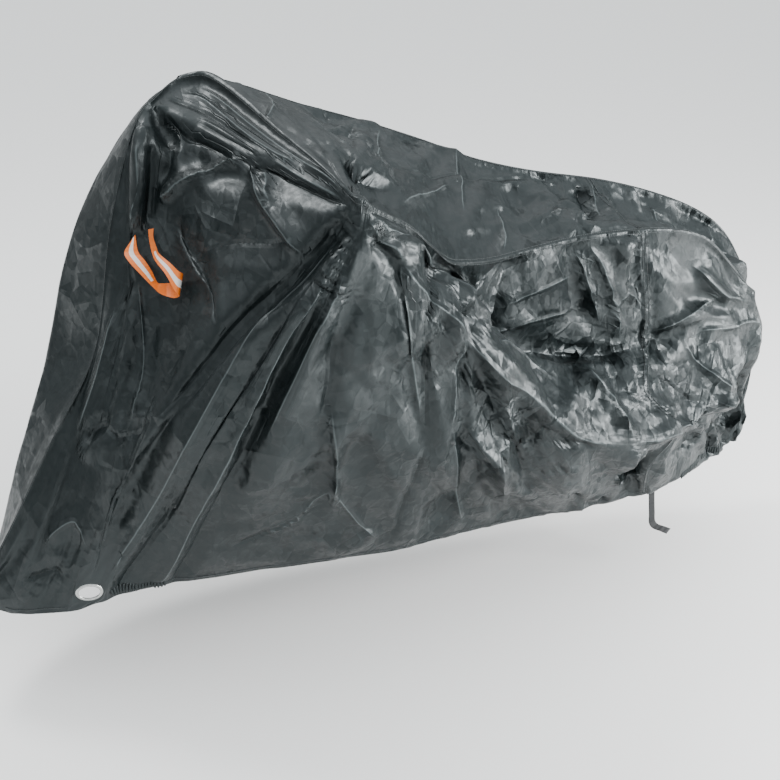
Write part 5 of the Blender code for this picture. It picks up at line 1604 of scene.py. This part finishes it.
@dataclass
class RowTree:
    """Geometry nodes that set one small rounded piece after another along a path."""

    kind: RowOf
    pitch: float
    size: tuple[float, float, float]
    segments: int
    seed: int = 5

    def tree(self, finish: Material) -> NodeTree:
        """Build the node tree.

        Args:
            finish: the material of every piece in the row.

        Returns:
            The tree, with its sizes as named inputs.
        """
        tree = bpy.data.node_groups.new(f"{self.kind.value}_row", "GeometryNodeTree")
        tree.interface.new_socket("Path", in_out="INPUT", socket_type="NodeSocketGeometry")
        for name, value in (("Pitch", self.pitch), ("Length", self.size[0]), ("Depth", self.size[1]),
                            ("Height", self.size[2])):
            socket = tree.interface.new_socket(name, in_out="INPUT", socket_type="NodeSocketFloat")
            socket.default_value = value
        tree.interface.new_socket("Row", in_out="OUTPUT", socket_type="NodeSocketGeometry")
        given = add_node(tree, "NodeGroupInput")
        spaced = add_node(tree, "GeometryNodeResampleCurve", {"mode": "LENGTH"},
                          {"Curve": given.outputs["Path"], "Length": given.outputs["Pitch"]})
        bead = add_node(tree, "GeometryNodeMeshUVSphere", {},
                        {"Segments": self.segments, "Rings": max(3, self.segments - 2), "Radius": 1.0})
        half = add_node(tree, "ShaderNodeCombineXYZ", {}, {0: given.outputs["Length"], 1: given.outputs["Depth"],
                                                          2: given.outputs["Height"]})
        uneven = add_node(tree, "FunctionNodeRandomValue", {"data_type": "FLOAT"}, {2: 0.40, 3: 0.56, 8: self.seed})
        scale = add_node(tree, "ShaderNodeVectorMath", {"operation": "SCALE"},
                         {0: half.outputs[0], "Scale": uneven.outputs[1]})
        tangent = add_node(tree, "GeometryNodeInputTangent")
        turn = add_node(tree, "FunctionNodeAlignRotationToVector", {"axis": "X"}, {"Vector": tangent.outputs[0]})
        row = add_node(tree, "GeometryNodeInstanceOnPoints", {},
                       {"Points": spaced.outputs[0], "Instance": bead.outputs["Mesh"], "Rotation": turn.outputs[0],
                        "Scale": scale.outputs[0]})
        real = add_node(tree, "GeometryNodeRealizeInstances", {}, {0: row.outputs[0]})
        dressed = add_node(tree, "GeometryNodeSetMaterial", {}, {"Geometry": real.outputs[0], "Material": finish})
        add_node(tree, "NodeGroupOutput", {}, {0: dressed.outputs[0]})
        return tree

    def build(self, name: str, paths: Sequence[np.ndarray], finish: Material) -> Object:
        """Make the row along every path, as one plain mesh.

        Args:
            name: the new object's name.
            paths: places along each path, in the design's frame.
            finish: the material.

        Returns:
            The row's object.
        """
        curve = bpy.data.curves.new(f"{name}_path", "CURVE")
        curve.dimensions = "3D"
        for path in paths:
            spline = curve.splines.new("POLY")
            spline.points.add(len(path) - 1)
            for point, place in zip(spline.points, path):
                point.co = (*(place - REST_POINT), 1.0)
        guide = add_object(f"{name}_path", curve)
        modifier = guide.modifiers.new("row", "NODES")
        modifier.node_group = self.tree(finish)
        graph = bpy.context.evaluated_depsgraph_get()
        mesh = bpy.data.meshes.new_from_object(guide.evaluated_get(graph))
        guide.modifiers.remove(modifier)
        bpy.data.objects.remove(guide, do_unlink=True)
        mesh.name = name
        mesh.shade_smooth()
        piece = add_object(name, mesh)
        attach(piece, BODY)
        LOG.info("%s: %d faces", name, len(mesh.polygons))
        return piece


def between(grid: Grid, line: np.ndarray, first: float, last: float) -> np.ndarray:
    """The part of a line with a place for each station that lies between two stations."""
    return line[(grid.stations >= first) & (grid.stations <= last)]


def sew(one: Grid, rows_one: tuple, other: Grid, rows_other: tuple) -> None:
    """Bring the edges of two surfaces onto one line, with shared normals.

    Args:
        one: the first surface.
        rows_one: the places of its edge.
        other: the second surface.
        rows_other: the places of its edge.
    """
    line = (one.places[rows_one] + other.places[rows_other]) / 2.0
    facing = unit(one.normals[rows_one] + other.normals[rows_other])
    one.places[rows_one] = other.places[rows_other] = line
    one.normals[rows_one] = other.normals[rows_other] = facing


@dataclass
class Cover:
    """The whole cover: three surfaces cut into panels, sewn, gathered and fitted out."""

    form: CoverForm = field(default_factory=CoverForm)
    relief: Relief = field(default_factory=Relief)
    eyelet: EyeletStrip = field(default_factory=EyeletStrip)
    stitch_gap: float = 0.005
    hem_stitch_gap: float = 0.012
    gather_gap: float = 0.0175
    gather_runs: tuple[tuple[float, float], ...] = ((7.25, 8.10), (17.2, 19.5))
    panels: tuple[tuple[Side, SheetPanel], ...] = (
        (Side.LEFT, SheetPanel("left_panel", 0.0, 16.0, (1.75, 1.32), 1.50, "top_panel_cloth",
                               EyeletStrip.notch)),
        (Side.LEFT, SheetPanel("left_rear_panel", 16.0, 20.0, (0.75, 0.90), 0.34, "top_rear_panel_cloth")),
        (Side.TOP, SheetPanel("top_panel", TOP_START_STATION, 16.0, (1.25, 0.60), 0.36, "right_panel_cloth")),
        (Side.TOP, SheetPanel("top_rear_panel", 16.0, 20.0, (1.00, 0.25), 0.15, "top_panel_cloth")),
        (Side.RIGHT, SheetPanel("right_panel", 0.0, 16.0, (1.70, 1.15), 1.40, "top_panel_cloth")),
        (Side.RIGHT, SheetPanel("right_rear_panel", 16.0, 20.0, (0.70, 0.80), 0.30, "top_rear_panel_cloth")),
    )

    def surfaces(self) -> dict[Side, Grid]:
        """Drape, crease and sew the three surfaces.

        Returns:
            The surfaces by side.
        """
        grids = {side: self.form.build(side) for side in Side}
        creases = {Side.LEFT: LEFT_CREASES, Side.TOP: TOP_CREASES, Side.RIGHT: ()}
        for side, grid in grids.items():
            self.relief.apply(grid, creases[side])
        left, right, top = grids[Side.LEFT], grids[Side.RIGHT], grids[Side.TOP]
        start = len(left.stations) - len(top.stations)
        sew(left, np.s_[:start + 1, 0], right, np.s_[:start + 1, 0])
        sew(left, np.s_[start:, 0], top, np.s_[:, 0])
        sew(right, np.s_[start:, 0], top, np.s_[:, -1])
        return grids

    def stitch_paths(self, grids: Mapping[Side, Grid]) -> list[np.ndarray]:
        """Every row of stitches: beside each seam, both sides of the felled seam, along the hem.

        Args:
            grids: the surfaces by side.

        Returns:
            The places along each row.
        """
        left, right, top = grids[Side.LEFT], grids[Side.RIGHT], grids[Side.TOP]
        paths = [left.line_at(self.stitch_gap),
                 between(right, right.line_at(self.stitch_gap), *RIGHT_SEAM_STITCHES)]
        paths += [between(top, top.line_at(self.stitch_gap, last), *TOP_SEAM_STITCHES) for last in (False, True)]
        for side, (low, high) in FELL_STITCHES.items():
            grid = grids[side]
            fell = grid.column(REAR_SEAM_STATION)
            rows = (grid.spots > low) & (grid.spots < high)
            for column in (fell - 1, fell + 2):
                paths.append((grid.places[column] + grid.normals[column] * PROUD)[rows])
        for side, runs in HEM_STITCHES.items():
            line = grids[side].line_at(self.hem_stitch_gap, True)
            paths += [between(grids[side], line, *run) for run in runs]
        return paths

    def build(self) -> list[Object]:
        """Build every piece of the cover.

        Returns:
            The pieces.
        """
        grids = self.surfaces()
        cloth = CoatedPolyester().material()
        strip_cloth = CoatedPolyester(name="eyelet_strip_cloth", cloth_hex="202425",
                                      shard_sizes=((30.0, 0.05, 0.1, 0.5),)).material()
        pieces = {panel.name: panel.build(grids[side], cloth) for side, panel in self.panels}
        strip = self.eyelet.build_strip(grids[Side.LEFT], strip_cloth)
        ring = self.eyelet.build_ring(PlatedSteel().material())
        thread = SewingThread().material()
        stitches = RowTree(RowOf.STITCHES, pitch=0.0056, size=(0.0080, 0.0014, 0.0014), segments=5).build(
            "seam_stitches", self.stitch_paths(grids), thread)
        left = grids[Side.LEFT]
        hem_line = left.line_at(self.gather_gap, True)
        gathers = RowTree(RowOf.GATHERS, pitch=0.0066, size=(0.0072, 0.0065, 0.0230), segments=8).build(
            "hem_gathers", [between(left, hem_line, *run) for run in self.gather_runs], cloth)
        ribbon = Ribbon("reflective_loop_ribbon", "reflective_loop", "reflective_ribbon", LOOP_RUNGS,
                        thickness=0.0012).build(
            [ReflectiveRibbon(plain_runs_mm=LOOP_INSIDE_RUNS_MM).material(),
             ReflectiveRibbon("ribbon_inside", plain_runs_mm=LOOP_OUTSIDE_RUNS_MM).material()])
        strap = Ribbon("rear_strap_webbing", "rear_strap", "webbing", STRAP_RUNGS, thickness=0.0018,
                       crown=0.0002).build([Webbing().material()])
        return [*pieces.values(), strip, ring, stitches, gathers, ribbon, strap]


@dataclass
class Studio:
    """Pale floor, soft lights and the camera."""

    camera_at: tuple[float, float, float] = (-1.2455, -2.5662, 0.8803)
    camera_down: float = 25.13
    camera_turn: float = -18.70
    lens: float = 60.0
    floor_side: float = 60.0
    sky_low: float = 0.25
    sky_high: float = 2.2
    lamps: tuple[Lamp, ...] = (
        Lamp("side", (2.8, -2.3, 0.9), (0.0, -0.2, -0.2), 1.5, 230.0),
        Lamp("top", (-1.7, 1.6, 3.0), (-0.6, 0.0, 0.0), 1.1, 80.0),
        Lamp("low", (3.3, -1.3, 0.2), (0.1, -0.2, -0.1), 1.2, 150.0),
    )

    def light(self, lamp: Lamp) -> None:
        """Hang one square soft light.

        Args:
            lamp: the light.
        """
        data = bpy.data.lights.new(lamp.name, "AREA")
        data.size = lamp.size
        data.energy = lamp.power
        holder = add_object(lamp.name, data)
        holder.location = lamp.at
        holder.rotation_euler = (Vector(lamp.to) - Vector(lamp.at)).to_track_quat("-Z", "Y").to_euler()
        holder.visible_camera = False

    def build(self) -> None:
        """Set up the floor, the world, the lights and the camera."""
        half, low = self.floor_side / 2.0, -float(REST_POINT[2])
        mesh = bpy.data.meshes.new("floor")
        mesh.from_pydata([(-half, -half, low), (half, -half, low), (half, half, low), (-half, half, low)], [],
                         [(0, 1, 2, 3)])
        mesh.materials.append(PaleFloor().material())
        floor = add_object("floor", mesh)
        world = bpy.data.worlds.new("studio")
        world.use_nodes = True
        tree = world.node_tree
        sky = tree.nodes["Background"]
        sky.inputs["Color"].default_value = linear("eef2f4")
        way = add_node(tree, "ShaderNodeTexCoord").outputs["Generated"]
        way = add_node(tree, "ShaderNodeSeparateXYZ", {}, {0: way})
        glow = add_node(tree, "ShaderNodeMapRange", {"interpolation_type": "SMOOTHSTEP"},
                        {"Value": way.outputs[2], "From Min": 0.05, "From Max": 0.95, "To Min": self.sky_low,
                         "To Max": self.sky_high})
        tree.links.new(glow.outputs[0], sky.inputs["Strength"])
        bpy.context.scene.world = world
        for lamp in self.lamps:
            self.light(lamp)
        camera = bpy.data.cameras.new("camera")
        camera.lens = self.lens
        camera.sensor_width = 36.0
        holder = add_object("camera", camera)
        holder.location = self.camera_at
        holder.rotation_euler = (math.radians(90.0 - self.camera_down), 0.0, math.radians(self.camera_turn))
        bpy.context.scene.camera = holder


def main() -> None:
    """Build the studio and the cover."""
    logging.basicConfig(level=logging.INFO, format="%(name)s: %(message)s")
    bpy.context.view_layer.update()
    Studio().build()
    pieces = Cover().build()
    for piece in pieces:
        LOG.info("built %s", piece.name)


if __name__ == "__main__":
    main()
